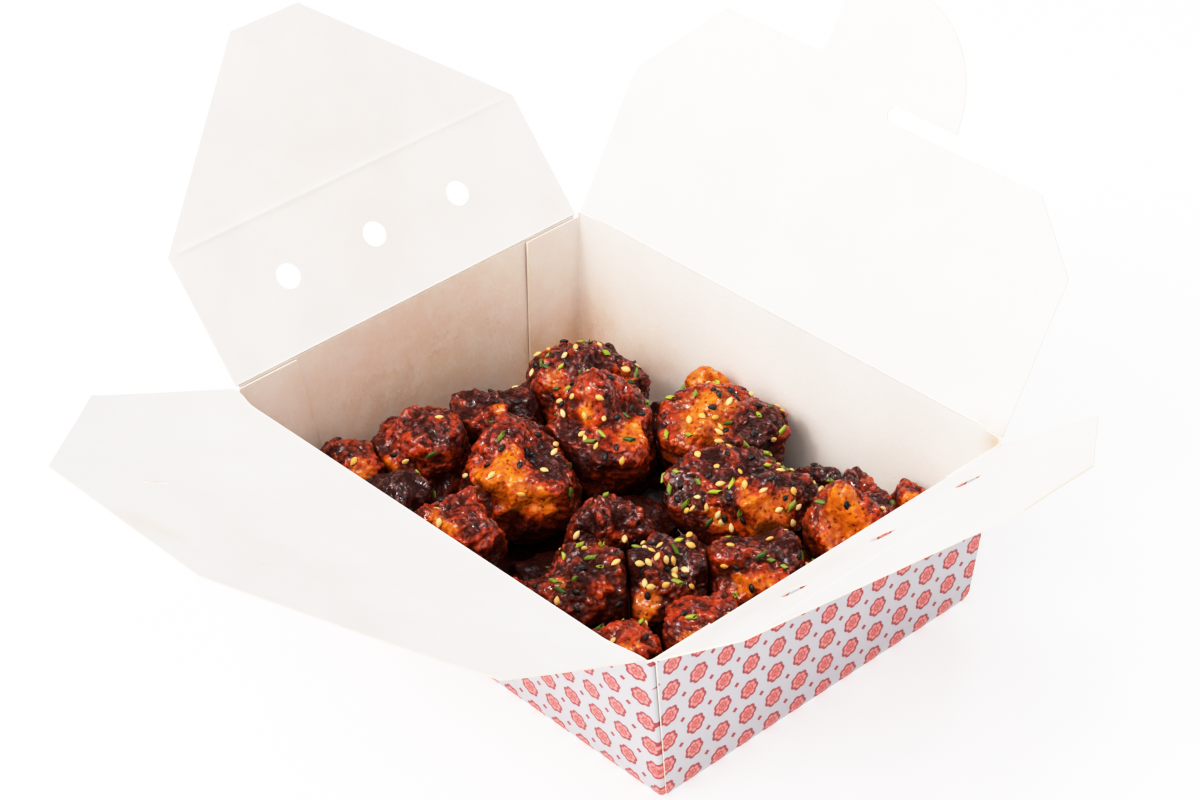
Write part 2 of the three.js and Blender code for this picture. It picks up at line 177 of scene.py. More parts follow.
# a small builder of node trees, so that each material below reads as a recipe
class Recipe:
    def __init__(self, tree):
        self.tree = tree

    def node(self, kind, inputs=None, **settings):
        node = self.tree.nodes.new(kind)
        for key, value in settings.items():
            setattr(node, key, value)
        for key, value in (inputs or {}).items():
            if isinstance(value, bpy.types.NodeSocket):
                self.tree.links.new(value, node.inputs[key])
            else:
                node.inputs[key].default_value = value
        return node

    def math(self, operation, *values, clamp=False):
        node = self.node("ShaderNodeMath", dict(enumerate(values)), operation=operation)
        node.use_clamp = clamp
        return node.outputs[0]

    def mix(self, share, first, second):
        inputs = {"Factor": share, 6: first, 7: second}
        return self.node("ShaderNodeMix", inputs, data_type="RGBA").outputs[2]

    def scaled(self, color, factor):
        return self.node("ShaderNodeVectorMath", {0: color, "Scale": factor}, operation="SCALE").outputs[0]

    def bump(self, height, strength, distance):
        return self.node("ShaderNodeBump", {
            "Strength": strength, "Distance": distance, "Height": height,
        }).outputs[0]

    def objectPlace(self):
        return self.node("ShaderNodeTexCoord").outputs["Object"]

    def fade(self, value, low, high, bottom=0.0, top=1.0):
        node = self.node("ShaderNodeMapRange", {
            "Value": value, "From Min": low, "From Max": high, "To Min": bottom, "To Max": top,
        }, interpolation_type="SMOOTHSTEP")
        return node.outputs["Result"]

    def noise(self, vector, scale, detail=3.0, roughness=0.55):
        node = self.node("ShaderNodeTexNoise", {
            "Vector": vector, "Scale": scale, "Detail": detail, "Roughness": roughness,
        })
        return node.outputs["Fac"]

    def column(self, title):
        return self.node("ShaderNodeAttribute", attribute_name=title).outputs["Fac"]


def rgb(red, green, blue):
    return (red, green, blue, 1.0)


def newGroup(name, inputs, outputs):
    tree = bpy.data.node_groups.new(name, "ShaderNodeTree")
    for title, kind, value in inputs:
        socket = tree.interface.new_socket(name=title, in_out="INPUT", socket_type=kind)
        if value is not None:
            socket.default_value = value
    for title, kind in outputs:
        tree.interface.new_socket(name=title, in_out="OUTPUT", socket_type=kind)
    recipe = Recipe(tree)
    given = tree.nodes.new("NodeGroupInput").outputs
    result = tree.nodes.new("NodeGroupOutput").inputs
    return tree, recipe, given, result


def useGroup(recipe, tree, **values):
    inputs = {key.replace("_", " "): value for key, value in values.items()}
    return recipe.node("ShaderNodeGroup", inputs, node_tree=tree).outputs


def newMaterial(name, viewColor):
    material = bpy.data.materials.new(name)
    material.use_nodes = True
    material.diffuse_color = viewColor
    shader = material.node_tree.nodes["Principled BSDF"]
    return material, Recipe(material.node_tree), shader


# links or sets the named sockets of a shader, or of a group's result
def feed(recipe, sockets, **values):
    for key, value in values.items():
        socket = sockets[key.replace("_", " ")]
        if isinstance(value, bpy.types.NodeSocket):
            recipe.tree.links.new(value, socket)
        else:
            socket.default_value = value


printed = {
    "across": 11.75, "up": 10.95, "radius": 3.95, "lobes": 7.0, "dot": 1.15,
    "ground": rgb(0.53, 0.525, 0.555), "ink": rgb(0.33, 0.025, 0.035),
    "middleInk": rgb(0.57, 0.065, 0.06), "paleInk": rgb(0.78, 0.24, 0.21),
}


# a lattice of scalloped rosettes with a lozenge in the middle of each cell
def makeRosettePrint():
    tree, r, given, result = newGroup("rosettePrint", [
        ("Vector", "NodeSocketVector", None), ("Across", "NodeSocketFloat", printed["across"]),
        ("Up", "NodeSocketFloat", printed["up"]), ("Radius", "NodeSocketFloat", printed["radius"]),
        ("Dot", "NodeSocketFloat", printed["dot"]), ("Ground", "NodeSocketColor", printed["ground"]),
        ("Ink", "NodeSocketColor", printed["ink"]),
        ("Middle Ink", "NodeSocketColor", printed["middleInk"]),
        ("Pale Ink", "NodeSocketColor", printed["paleInk"]),
    ], [("Color", "NodeSocketColor")])
    split = r.node("ShaderNodeSeparateXYZ", {"Vector": given["Vector"]}).outputs
    inCell = []
    for axis, pitch in (("X", given["Across"]), ("Y", given["Up"])):
        share = r.math("DIVIDE", split[axis], pitch)
        share = r.math("SUBTRACT", r.math("FRACT", share), 0.5)
        inCell.append(r.math("MULTIPLY", share, pitch))
    across, up = inCell
    far = r.math("SQRT", r.math("ADD", r.math("MULTIPLY", across, across), r.math("MULTIPLY", up, up)))
    angle = r.math("ARCTAN2", up, across)
    far = r.math("DIVIDE", far, given["Radius"])
    halfWave = r.math("COSINE", r.math("MULTIPLY", angle, printed["lobes"] / 2))
    petal = r.math("ABSOLUTE", halfWave)
    edge = r.math("MULTIPLY_ADD", petal, 0.15, 0.87)
    disc = r.fade(r.math("SUBTRACT", edge, far), -0.04, 0.04)
    inside = r.fade(r.math("SUBTRACT", edge, far), 0.21, 0.3)
    petals = r.math("MULTIPLY", inside, r.fade(petal, 0.12, 0.34, 0.25, 1.0))
    heart = r.fade(far, 0.42, 0.5, 1.0, 0.0)
    curl = r.math("COSINE", r.math("MULTIPLY_ADD", angle, 3.0, r.math("MULTIPLY", far, 9.0)))
    swirl = r.math("ABSOLUTE", r.math("SUBTRACT", far, r.math("MULTIPLY_ADD", curl, 0.06, 0.24)))
    swirl = r.fade(swirl, 0.03, 0.08, 0.7, 0.0)
    color = r.mix(petals, given["Ink"], given["Pale Ink"])
    color = r.mix(heart, color, given["Middle Ink"])
    color = r.mix(swirl, color, given["Pale Ink"])
    toCorner = [
        r.math("SUBTRACT", r.math("MULTIPLY", pitch, 0.5), r.math("ABSOLUTE", k))
        for pitch, k in ((given["Across"], across), (given["Up"], up))
    ]
    dot = r.fade(r.math("SUBTRACT", given["Dot"], r.math("ADD", *toCorner)), -0.15, 0.15)
    inked = r.math("MAXIMUM", disc, dot)
    grain = r.noise(given["Vector"], 3.0, 2.0)
    strength = r.math("MULTIPLY", inked, r.fade(grain, 0.2, 0.6, 0.88, 1.0))
    feed(r, result, Color=r.mix(strength, given["Ground"], color))
    return tree


# the faint cloudiness and fibres of coated board
def makeBoardGrain():
    tree, r, given, result = newGroup("boardGrain", [
        ("Vector", "NodeSocketVector", None), ("Color", "NodeSocketColor", rgb(0.9, 0.9, 0.9)),
        ("Cloud", "NodeSocketFloat", 0.05),
    ], [("Color", "NodeSocketColor"), ("Height", "NodeSocketFloat"), ("Roughness", "NodeSocketFloat")])
    cloud = r.noise(given["Vector"], 38.0, 4.0)
    fibre = r.noise(given["Vector"], 900.0, 3.0)
    shade = r.math("MULTIPLY", r.fade(cloud, 0.35, 0.65, -0.5, 0.5), given["Cloud"])
    shade = r.math("ADD", r.math("MULTIPLY_ADD", fibre, 0.03, 0.985), shade)
    height = r.math("ADD", fibre, r.math("MULTIPLY", cloud, 2.0))
    rough = r.fade(cloud, 0.3, 0.7, 0.38, 0.52)
    feed(r, result, Color=r.scaled(given["Color"], shade), Height=height, Roughness=rough)
    return tree


# oil in the board, and painted warm shade where the mask spreads wide: tan blotches with darker rims and a
# few brown specks
def makeStainShadeTint():
    tree, r, given, result = newGroup("stainShadeTint", [
        ("Vector", "NodeSocketVector", None), ("Color", "NodeSocketColor", rgb(0.9, 0.9, 0.9)),
        ("Amount", "NodeSocketFloat", 0.0), ("Stain", "NodeSocketColor", rgb(0.74, 0.47, 0.31)),
    ], [("Color", "NodeSocketColor"), ("Wet", "NodeSocketFloat")])
    blotch = r.noise(given["Vector"], 150.0, 5.0, 0.65)
    fine = r.noise(given["Vector"], 700.0, 4.0, 0.7)
    tanShare = r.math("MULTIPLY", given["Amount"], r.fade(blotch, 0.3, 0.62, 0.75, 1.0), clamp=True)
    tanShare = r.math("MULTIPLY", tanShare, r.fade(fine, 0.25, 0.7, 0.85, 1.0))
    speck = r.math("MULTIPLY", r.fade(fine, 0.72, 0.78), r.fade(given["Amount"], 0.6, 0.9))
    color = r.mix(tanShare, given["Color"], given["Stain"])
    color = r.mix(speck, color, rgb(0.16, 0.05, 0.02))
    feed(r, result, Color=color, Wet=tanShare)
    return tree


def makeBoardMaterials():
    grain, stainShadeGroup, rosettes = makeBoardGrain(), makeStainShadeTint(), makeRosettePrint()

    def dress(r, shader, place, color, bump):
        fibres = useGroup(r, grain, Vector=place, Color=color, Cloud=0.05)
        # the tan tint mixes oil stains with painted warm shade on the walls and the left flap
        stainShaded = useGroup(r, stainShadeGroup, Vector=place, Color=fibres["Color"], Amount=r.column("stainShade"))
        rough = r.math("MULTIPLY_ADD", stainShaded["Wet"], -0.18, fibres["Roughness"])
        relief = r.bump(fibres["Height"], bump, 0.00012)
        feed(r, shader.inputs, Base_Color=stainShaded["Color"], Roughness=rough, Normal=relief)
        feed(r, shader.inputs, Coat_Weight=0.12, Coat_Roughness=0.3, IOR=1.45)

    outside, r, shader = newMaterial("printedBoard", printed["ground"])
    flat = r.node("ShaderNodeUVMap", uv_map="flat").outputs[0]
    inked = useGroup(r, rosettes, Vector=flat, **{
        "Across": printed["across"], "Up": printed["up"], "Radius": printed["radius"],
        "Dot": printed["dot"], "Ground": printed["ground"], "Ink": printed["ink"],
        "Middle_Ink": printed["middleInk"], "Pale_Ink": printed["paleInk"],
    })
    dress(r, shader, r.objectPlace(), inked["Color"], 0.25)

    materials = [outside]
    for name, color, bump in (
        ("linedBoard", rgb(0.83, 0.79, 0.765), 0.5), ("boardEdge", rgb(0.88, 0.72, 0.56), 0.8),
        # painted light: the tray's lining and cut edge are brighter copies of linedBoard and boardEdge
        ("trayLiningLit", rgb(0.93, 0.885, 0.845), 0.8), ("trayEdgeLit", rgb(0.98, 0.88, 0.74), 0.8),
    ):
        material, r, shader = newMaterial(name, color)
        dress(r, shader, r.objectPlace(), color, bump)
        materials.append(material)
    return materials


tray = {
    "depth": 64.0, "baseLength": 197.0, "baseWidth": 144.0, "rimLength": 208.0, "rimWidth": 159.0,
    "tabWidth": 26.0, "tabTop": 63.2, "shortTop": 63.55, "shortLean": 0.7, "shortInset": 2.0,
    "frontTop": 64.5, "frontBow": 3.4, "backTop": 64.9, "backBow": 0.8, "bowRun": 16.0,
    "cornerRadius": 1.1, "baseRadius": 1.0, "rows": 34, "frontDip": 0.0235,
    "tabStations": [0, 0.03, 0.06, 0.1, 0.2, 0.35, 0.5, 0.65, 0.8, 0.968, 1],
    "beadRise": 0.56, "beadWidth": 0.95, "edgeSwell": 0.4,
    "frontPrint": (-92.0, 3.9), "sidePrint": (76.5, 2.2),
}
flaps = {
    "back": {"open": 58.0, "heading": 0.0, "shift": 0.0},
    "front": {"open": 24.0, "heading": 180.0, "shift": -1.0},
    "left": {"open": 50.0, "heading": 90.0, "shift": 0.0},
    "right": {"open": 38.0, "heading": -90.0, "shift": 0.0},
    "hingeGap": 0.3, "coverHalf": 103.5, "spacing": 2.6, "foldBead": 0.44,
    "wavesFrom": (2, 30), "waves": ((0.32, 46.0), (0.1, 17.0)),     # rise and length of the waves
}
frontFlap = {
    "reach": 122.0, "cut": 57.0, "tipHalf": 37.8, "bendStart": 44.0, "bendEnd": 76.0, "bend": 7.5,
    "slitFrom": -27.0, "slitTo": 31.0, "slitAt": 87.0, "slitBar": 3.0, "slitWidth": 0.15,
    "openBar": (-6.5, 2.5), "openWidth": 1.9,
    "cornerReach": 3.8,
}
ventFlap = {
    "half": 78.4, "reach": 112.2, "tipHalf": 15.0, "creaseAt": 49.4, "creaseInset": 4.0,
    "creaseRise": 0.26, "creaseWidth": 0.7, "holeRadius": 4.65, "holeAt": 25.8, "holePitch": 38.7,
    "leftMiddle": -1.5,             # the left flap's middle hole, mm towards the back
}
lock = {
    "shoulder": 77.5, "shoulderHalf": 81.0, "cut": 56.0, "slotRadius": 2.9, "slotEnd": 13.5,
    "slotMouth": 41.8, "centre": 0.6, "centreAt": 82.0, "radius": 40.3, "straightSide": -24.5,
    "leftShoulder": 90.0, "leftCut": -73.0, "crownEnd": 117.0, "sideBend": 116.0, "sideTop": 110.0,
    "sideFoot": 96.0, "footRun": 5.0,
}
# where oil stains the lining, and wide washes of painted warm shade: place, reach and strength of each
stainShadeSpots = {
    "tray": [
        # the wide wash over the left wall is painted warm shade; the small spots are oil stains
        ((-101, 0, 16), 78, 0.85), ((-101, 66, 6), 18, 0.7), ((-101, 50.5, 8), 9, 0.5),
        ((-102, 50.6, 24), 5, 0.3), ((-102, -50.2, 10), 9, 0.5), ((-60, 76, 20), 18, 0.35),
        # the spot low on the back wall at (0, 78, 10) is painted shade at the food's foot
        ((-90, 76, 26), 12, 0.3), ((0, 78, 10), 34, 0.2), ((60, 77, 22), 20, 0.2),
        ((0, -78, 20), 90, 0.4), ((101, 0, 20), 75, 0.45), ((103, 79, 62), 6, 0.8),
    ],
    "flap": [
        ((0, -186, 118), 8, 0.35), ((8, -181, 115), 5, 0.25), ((104, -79, 66), 5, 0.6),
        ((104, 79, 66), 5, 0.9), ((95, 81, 66), 4, 0.5), ((-109, 71, 69), 6, 0.2),
        # the wide wash over the left flap is painted warm shade
        ((-145, 0, 105), 80, 0.2),
    ],
}


def halfLengthAt(z):
    return (tray["baseLength"] + (tray["rimLength"] - tray["baseLength"]) * z / tray["depth"]) / 2


def halfWidthAt(z):
    return (tray["baseWidth"] + (tray["rimWidth"] - tray["baseWidth"]) * z / tray["depth"]) / 2


# how far the sides draw in towards the rounded fold along the base
def baseInset(z):
    radius = tray["baseRadius"]
    rise = np.clip(radius - z, 0, radius)
    return radius - np.sqrt(radius ** 2 - rise ** 2)


def bowShare(x, half):
    return smoothStep((half - np.abs(x)) / tray["bowRun"], 0, 1)


def stainShadeAt(points, lining, where):
    amount = np.zeros(len(points))
    for place, size, strength in stainShadeSpots[where]:
        apart = ((points - np.array(place)) ** 2).sum(-1)
        amount += strength * np.exp(-apart / size ** 2)
    return np.clip(amount, 0, 1) * lining


# a closed sheet of board: the outer grid, a copy pushed in along its normals, and a rim
# between their borders. Slots: 0 printed outside, 1 lined inside, 2 cut edge. swell makes the
# board thicker inwards.
def boardFromGrid(outer, flat, inward, swell=0.0):
    rows, columns = outer.shape[:2]
    along = np.gradient(outer, axis=1)
    up = np.gradient(outer, axis=0)
    normal = np.cross(along, up)
    normal /= np.linalg.norm(normal, axis=-1, keepdims=True)
    facing = np.sign((normal * inward).sum())
    inner = outer + normal * facing * (board + np.zeros(outer.shape[:2]) + swell)[..., None]
    points = np.vstack([outer.reshape(-1, 3), inner.reshape(-1, 3)])
    front = gridFaces(rows, columns)
    if facing > 0:
        front = front[:, ::-1]
    half = rows * columns
    index = np.arange(half).reshape(rows, columns)
    border = np.concatenate([index[0], index[1:, -1], index[-1, -2::-1], index[-2:0:-1, 0]])
    after = np.roll(border, -1)
    rim = np.stack([border, after, after + half, border + half], -1)
    if facing < 0:
        rim = rim[:, ::-1]
    faces = np.vstack([front, front[:, ::-1] + half, rim])
    slots = np.repeat([0, 1, 2], [len(front), len(front), len(rim)])
    uv = np.vstack([flat.reshape(-1, 2)] * 2)
    return points, faces, uv, np.repeat([0, 1], half), slots


# a long wall with its two glue tabs: stations along its plan path, each standing up the slope.
# In plan the path runs down a tab, round the corner's arc, along the bowed wall and back.
def longWall(side, top, bow):
    t = tray
    radius = t["cornerRadius"]
    share = np.linspace(0, 1, t["rows"])[:, None] ** 0.9
    turn = np.linspace(0, math.pi / 2, 8)[1:-1]
    run = np.sin(np.linspace(-1, 1, 121) * math.pi / 2)
    onTab = np.array(t["tabStations"])
    columns, apart = [], []
    for kind, places in (("tab", onTab[::-1]), ("arc", turn), ("wall", run),
                         ("arc", turn[::-1]), ("tab", onTab)):
        mirror = -1 if len(columns) < 2 else 1
        z = share * (t["tabTop"] if kind == "tab" else top) + 0 * places
        if kind != "tab" and side < 0:      # the front wall's top dips to its fold at the corners
            dip = bowShare(run * halfLengthAt(top), halfLengthAt(top)) if kind == "wall" else 0 * places
            z = z * (1 - (1 - dip) * t["frontDip"])
        inset = baseInset(z)
        length = halfLengthAt(z) - inset
        width = halfWidthAt(z) - inset
        if kind == "tab":
            x = mirror * length
            y = width - radius - places * (t["tabWidth"] - radius)
            far = places * (t["tabWidth"] - radius) + radius * math.pi / 4
        elif kind == "arc":
            x = mirror * (length - radius + radius * np.cos(places))
            y = width - radius + radius * np.sin(places)
            far = radius * np.abs(places - math.pi / 4)
        else:
            x = places * (length - radius)
            y = width + bow * (z / t["depth"]) * bowShare(x, length)
            far = (1 - np.abs(places)) * halfLengthAt(top) + radius * math.pi / 4
        columns.append(np.stack([x, side * y, z], -1))
        apart.append(far)
    outer = np.concatenate(columns, axis=1)
    bead = t["beadRise"] * np.exp(-(np.concatenate(apart) / t["beadWidth"]) ** 2)
    flat = np.stack([outer[..., 0] + t["frontPrint"][0], outer[..., 2] + t["frontPrint"][1]], -1)
    bead[[0, -1]] += t["edgeSwell"]
    part = boardFromGrid(outer, flat, np.array([0, -side, 0.0]), bead)
    count = (outer.shape[0] - 1) * (outer.shape[1] - 1)
    inside = part[4][count:2 * count].reshape(outer.shape[0] - 1, -1)
    # painted highlight: the lining strips beside the tabs' free edges take the brighter cut-edge finish, a
    # light line along each edge
    inside[:, [0, -1]] = 2                  # bare fibres along the tabs' free edges
    return part


# a short wall: a straight panel outside the tabs, leaning off them towards the rim
def shortWall(side):
    t = tray
    low = np.linspace(0, 1, t["rows"])[:, None] ** 0.9 * t["shortTop"] + 0 * np.linspace(0, 1, 61)
    inset = baseInset(low)
    across = np.linspace(-1, 1, 61) + 0 * low
    x = halfLengthAt(low) - inset + t["shortLean"] * low / t["depth"] + board
    y = across * (halfWidthAt(low) - inset - t["shortInset"])
    outer = np.stack([side * x, y, low], -1)
    flat = np.stack([side * y + tray["sidePrint"][0], low + tray["sidePrint"][1]], -1)
    return boardFromGrid(outer, flat, np.array([-side, 0, 0.0]))


def trayFloor():
    radius = tray["baseRadius"]
    x, y = np.meshgrid(
        np.linspace(-1, 1, 50) * (tray["baseLength"] / 2 - radius),
        np.linspace(-1, 1, 37) * (tray["baseWidth"] / 2 - radius),
    )
    outer = np.stack([x, y, 0 * x], -1)
    return boardFromGrid(outer, np.stack([x, y], -1), np.array([0, 0, 1.0]))


def makeTray(materials):
    parts = [
        trayFloor(), longWall(-1, tray["frontTop"], tray["frontBow"]),
        longWall(1, tray["backTop"], tray["backBow"]), shortWall(-1), shortWall(1),
    ]
    points, faces, (uv, lining, slots) = joinParts(parts)
    stainShade = stainShadeAt(points, lining, "tray")
    # the tray's inside and cut edges take the brighter lit copies: painted light
    chosen = [materials[0], materials[3], materials[4]]
    piece = newMesh("foldedTray", points, faces, chosen, slots, uv, {"stainShade": stainShade}, sharp=38)
    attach(piece, "box")
    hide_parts("tray")


# straight runs between the corners of an outline, cut into steps of about the spacing
def walk(corners, spacing):
    corners = np.asarray(corners, float)
    steps = []
    for here, there in zip(corners, np.roll(corners, -1, axis=0)):
        count = max(1, round(np.linalg.norm(there - here) / spacing))
        steps.append(here + (there - here) * np.arange(count)[:, None] / count)
    return np.vstack(steps)


def arc(centre, radius, start, end, count):
    angle = np.linspace(start, end, count)
    return np.array(centre) + radius * np.stack([np.cos(angle), np.sin(angle)], -1)


# even-odd rule for all points at once: how many edges lie to the right of a point
def isInside(points, outline):
    x, y = points[:, :1], points[:, 1:]
    here, there = outline, np.roll(outline, -1, axis=0)
    crosses = (here[:, 1] > y) != (there[:, 1] > y)
    rise = there[:, 1] - here[:, 1]
    rise = np.where(rise == 0, 1e-9, rise)
    at = here[:, 0] + (y - here[:, 1]) * (there[:, 0] - here[:, 0]) / rise
    return (crosses & (x < at)).sum(1) % 2 == 1


def distanceTo(points, outline):
    here, there = outline, np.roll(outline, -1, axis=0)
    step = there - here
    length = (step ** 2).sum(-1)
    share = ((points[:, None] - here) * step).sum(-1) / np.maximum(length, 1e-9)
    nearest = here + np.clip(share, 0, 1)[..., None] * step
    return np.sqrt(((points[:, None] - nearest) ** 2).sum(-1)).min(1)


# a flat outline with holes, filled with triangles over a lattice of points
def fillOutline(outline, holes, spacing, rowsAt=()):
    low, high = outline.min(0), outline.max(0)
    x, y = np.meshgrid(np.arange(low[0], high[0], spacing), np.arange(low[1], high[1], spacing))
    x = x + (np.arange(len(x)) % 2)[:, None] * spacing / 2
    lattice = np.stack([x.ravel(), y.ravel()], -1)
    for at in rowsAt:
        lattice = lattice[np.abs(lattice[:, 1] - at) > spacing * 0.3]
    run = np.arange(low[0], high[0], spacing)
    rows = [np.stack([run, 0 * run + at], -1) for at in rowsAt]
    lattice = np.vstack([lattice] + rows)
    keep = isInside(lattice, outline) & (distanceTo(lattice, outline) > spacing * 0.4)
    lattice = lattice[keep]
    for hole in holes:
        lattice = lattice[~isInside(lattice, hole) & (distanceTo(lattice, hole) > spacing * 0.3)]
    edges, start = [], 0
    for loop in [outline] + holes:
        index = np.arange(len(loop)) + start
        edges += np.stack([index, np.roll(index, -1)], -1).tolist()
        start += len(loop)
    flat = np.vstack([outline] + holes + [lattice])
    result = delaunay_2d_cdt([Vector(p) for p in flat], edges, [], 0, 1e-6)
    flat = np.array([p[:] for p in result[0]])
    triangles = np.array([f for f in result[2] if len(f) == 3])
    middle = flat[triangles].mean(1)
    keep = isInside(middle, outline)
    for hole in holes:
        keep &= ~isInside(middle, hole)
    triangles = triangles[keep]
    a, b, c = (flat[triangles[:, k]] for k in range(3))
    area = (b[:, 0] - a[:, 0]) * (c[:, 1] - a[:, 1]) - (b[:, 1] - a[:, 1]) * (c[:, 0] - a[:, 0])
    triangles[area < 0] = triangles[area < 0][:, ::-1]
    return flat, triangles


# board from filled triangles: both faces of a surface given by (flat place, height) and the
# cut edge between them, along every edge that only one triangle has
def boardFromOutline(flat, triangles, surface):
    count = len(flat)
    points = np.vstack([surface(flat, board / 2), surface(flat, -board / 2)])
    edges = np.vstack([triangles[:, [0, 1]], triangles[:, [1, 2]], triangles[:, [2, 0]]])
    code = edges[:, 0] * count + edges[:, 1]
    reverse = edges[:, 1] * count + edges[:, 0]
    rim = edges[~np.isin(code, reverse)]
    a, b = rim[:, 0], rim[:, 1]
    sides = np.vstack([np.stack([a, a + count, b + count], -1), np.stack([a, b + count, b], -1)])
    faces = np.vstack([triangles, triangles[:, ::-1] + count, sides])
    slots = np.repeat([1, 0, 2], [len(triangles), len(triangles), len(sides)])
    return points, faces, np.vstack([flat, flat]), np.repeat([1, 0], count), slots


# the rounded fold along a flap: a circle carried along the line where the flap starts
def foldBead(path, radius):
    angle = np.linspace(0, 2 * math.pi, 10, endpoint=False)
    ring = np.stack([0 * angle, np.cos(angle), np.sin(angle)], -1) * radius
    points = (path[:, None] + ring).reshape(-1, 3)
    quads = gridFaces(len(path), len(angle), wrapColumns=True)[:, ::-1]
    faces = np.vstack([quads[:, [0, 1, 2]], quads[:, [0, 2, 3]]])
    last = len(points) - len(angle)
    for start, order in ((0, 1), (last, -1)):
        k = np.arange(1, len(angle) - 1)
        cap = np.stack([0 * k, k, k + 1], -1)[:, ::order] + start
        faces = np.vstack([faces, cap])
    return points, faces, points[:, :2] * 1.0, np.ones(len(points)), np.ones(len(faces), int)


# the flat board bent by its surface, with the bead along its fold, turned to its open angle
def hangFlap(name, side, filled, surface, path, materials):
    place, body, node = flaps[side], f"{side}_lid", f"{side}_flap"
    parts = [boardFromOutline(*filled, surface), foldBead(path, flaps["foldBead"])]
    points, faces, (uv, lining, slots) = joinParts(parts)
    openBy, heading = math.radians(place["open"]), math.radians(place["heading"])
    turned = Matrix.Rotation(heading, 3, "Z") @ Matrix.Rotation(openBy, 3, "X")
    start = foldAt[body] + np.array([place["shift"], 0, 0])
    points = points @ np.array(turned).T + start
    uv = uv + np.array([printed["across"] * 0.3, tray["depth"]])
    stainShade = stainShadeAt(points, lining, "flap")
    piece = newMesh(name, points, faces, materials[:3], slots, uv, {"stainShade": stainShade}, sharp=38)
    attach(piece, body)
    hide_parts(node)


# board is never quite flat: long low waves that begin past the fold
def waves(flat, seed):
    place = np.column_stack([flat, 0 * flat[:, 0] + seed])
    fade = smoothStep(flat[:, 1], *flaps["wavesFrom"])
    rises = [rise * softNoise(place, size, seed + k) for k, (rise, size) in enumerate(flaps["waves"])]
    return fade * sum(rises)


def straightPath(half, count):
    return np.column_stack([np.linspace(-half, half, count), np.zeros(count), np.zeros(count)])


def makeBackFlap(materials):
    l = lock
    mouth = math.atan2(l["shoulder"] + 2 * l["slotRadius"] - l["centreAt"], l["slotMouth"] - l["centre"])
    slot = arc((l["slotEnd"], l["shoulder"] + l["slotRadius"]), l["slotRadius"],
               -math.pi / 2, -3 * math.pi / 2, 13)
    crown = arc((l["centre"], l["centreAt"]), l["radius"], mouth, math.radians(l["crownEnd"]), 40)
    side = l["straightSide"]

    def curve(a, b, c, count):
        t = np.linspace(0, 1, count)[:, None]
        return (1 - t) ** 2 * np.array(a) + 2 * t * (1 - t) * np.array(b) + t ** 2 * np.array(c)

    toSide = curve(crown[-1], (side, l["sideBend"]), (side, l["sideTop"]), 8)[1:]
    foot = (side - l["footRun"], l["leftShoulder"])
    toShoulder = curve((side, l["sideFoot"]), (side, l["leftShoulder"]), foot, 6)
    half, gap = flaps["coverHalf"], flaps["hingeGap"]
    corners = np.vstack([
        [(-half, gap), (half, gap), (half, l["cut"]), (l["shoulderHalf"], l["shoulder"])],
        slot, crown, toSide, toShoulder,
        [(l["leftCut"], l["leftShoulder"]), (-half + 1.5, l["cut"] + 2), (-half, l["cut"] - 3)],
    ])
    filled = fillOutline(walk(corners, flaps["spacing"]), [], flaps["spacing"])

    def surface(flat, height):
        return np.column_stack([flat, waves(flat, 3) + height])

    hangFlap("backLidFlap", "back", filled, surface, straightPath(half, 60), materials)


def makeVentFlap(name, side, seed, materials):
    v, gap = ventFlap, flaps["hingeGap"]
    middle = v["leftMiddle"] if side == "left" else 0
    corners = [
        (-v["half"], gap), (v["half"], gap), (v["half"], v["creaseAt"]), (v["tipHalf"], v["reach"]),
        (-v["tipHalf"], v["reach"]), (-v["half"], v["creaseAt"]),
    ]
    holes = [
        arc((step * v["holePitch"] + middle, v["holeAt"]), v["holeRadius"], 0, 2 * math.pi, 33)[:-1]
        for step in (-1, 0, 1)
    ]
    rowsAt = v["creaseAt"] + v["creaseWidth"] * np.array([-1.6, -0.8, 0, 0.8, 1.6])
    filled = fillOutline(walk(corners, flaps["spacing"]), holes, flaps["spacing"], rowsAt)

    def surface(flat, height):
        off = (flat[:, 1] - v["creaseAt"]) / v["creaseWidth"]
        ends = smoothStep(v["half"] - v["creaseInset"] - np.abs(flat[:, 0]), 0, 1.5)
        crease = v["creaseRise"] * np.exp(-off ** 2) * ends
        return np.column_stack([flat, waves(flat, seed) + crease + height])

    hangFlap(name, side, filled, surface, straightPath(v["half"], 50), materials)


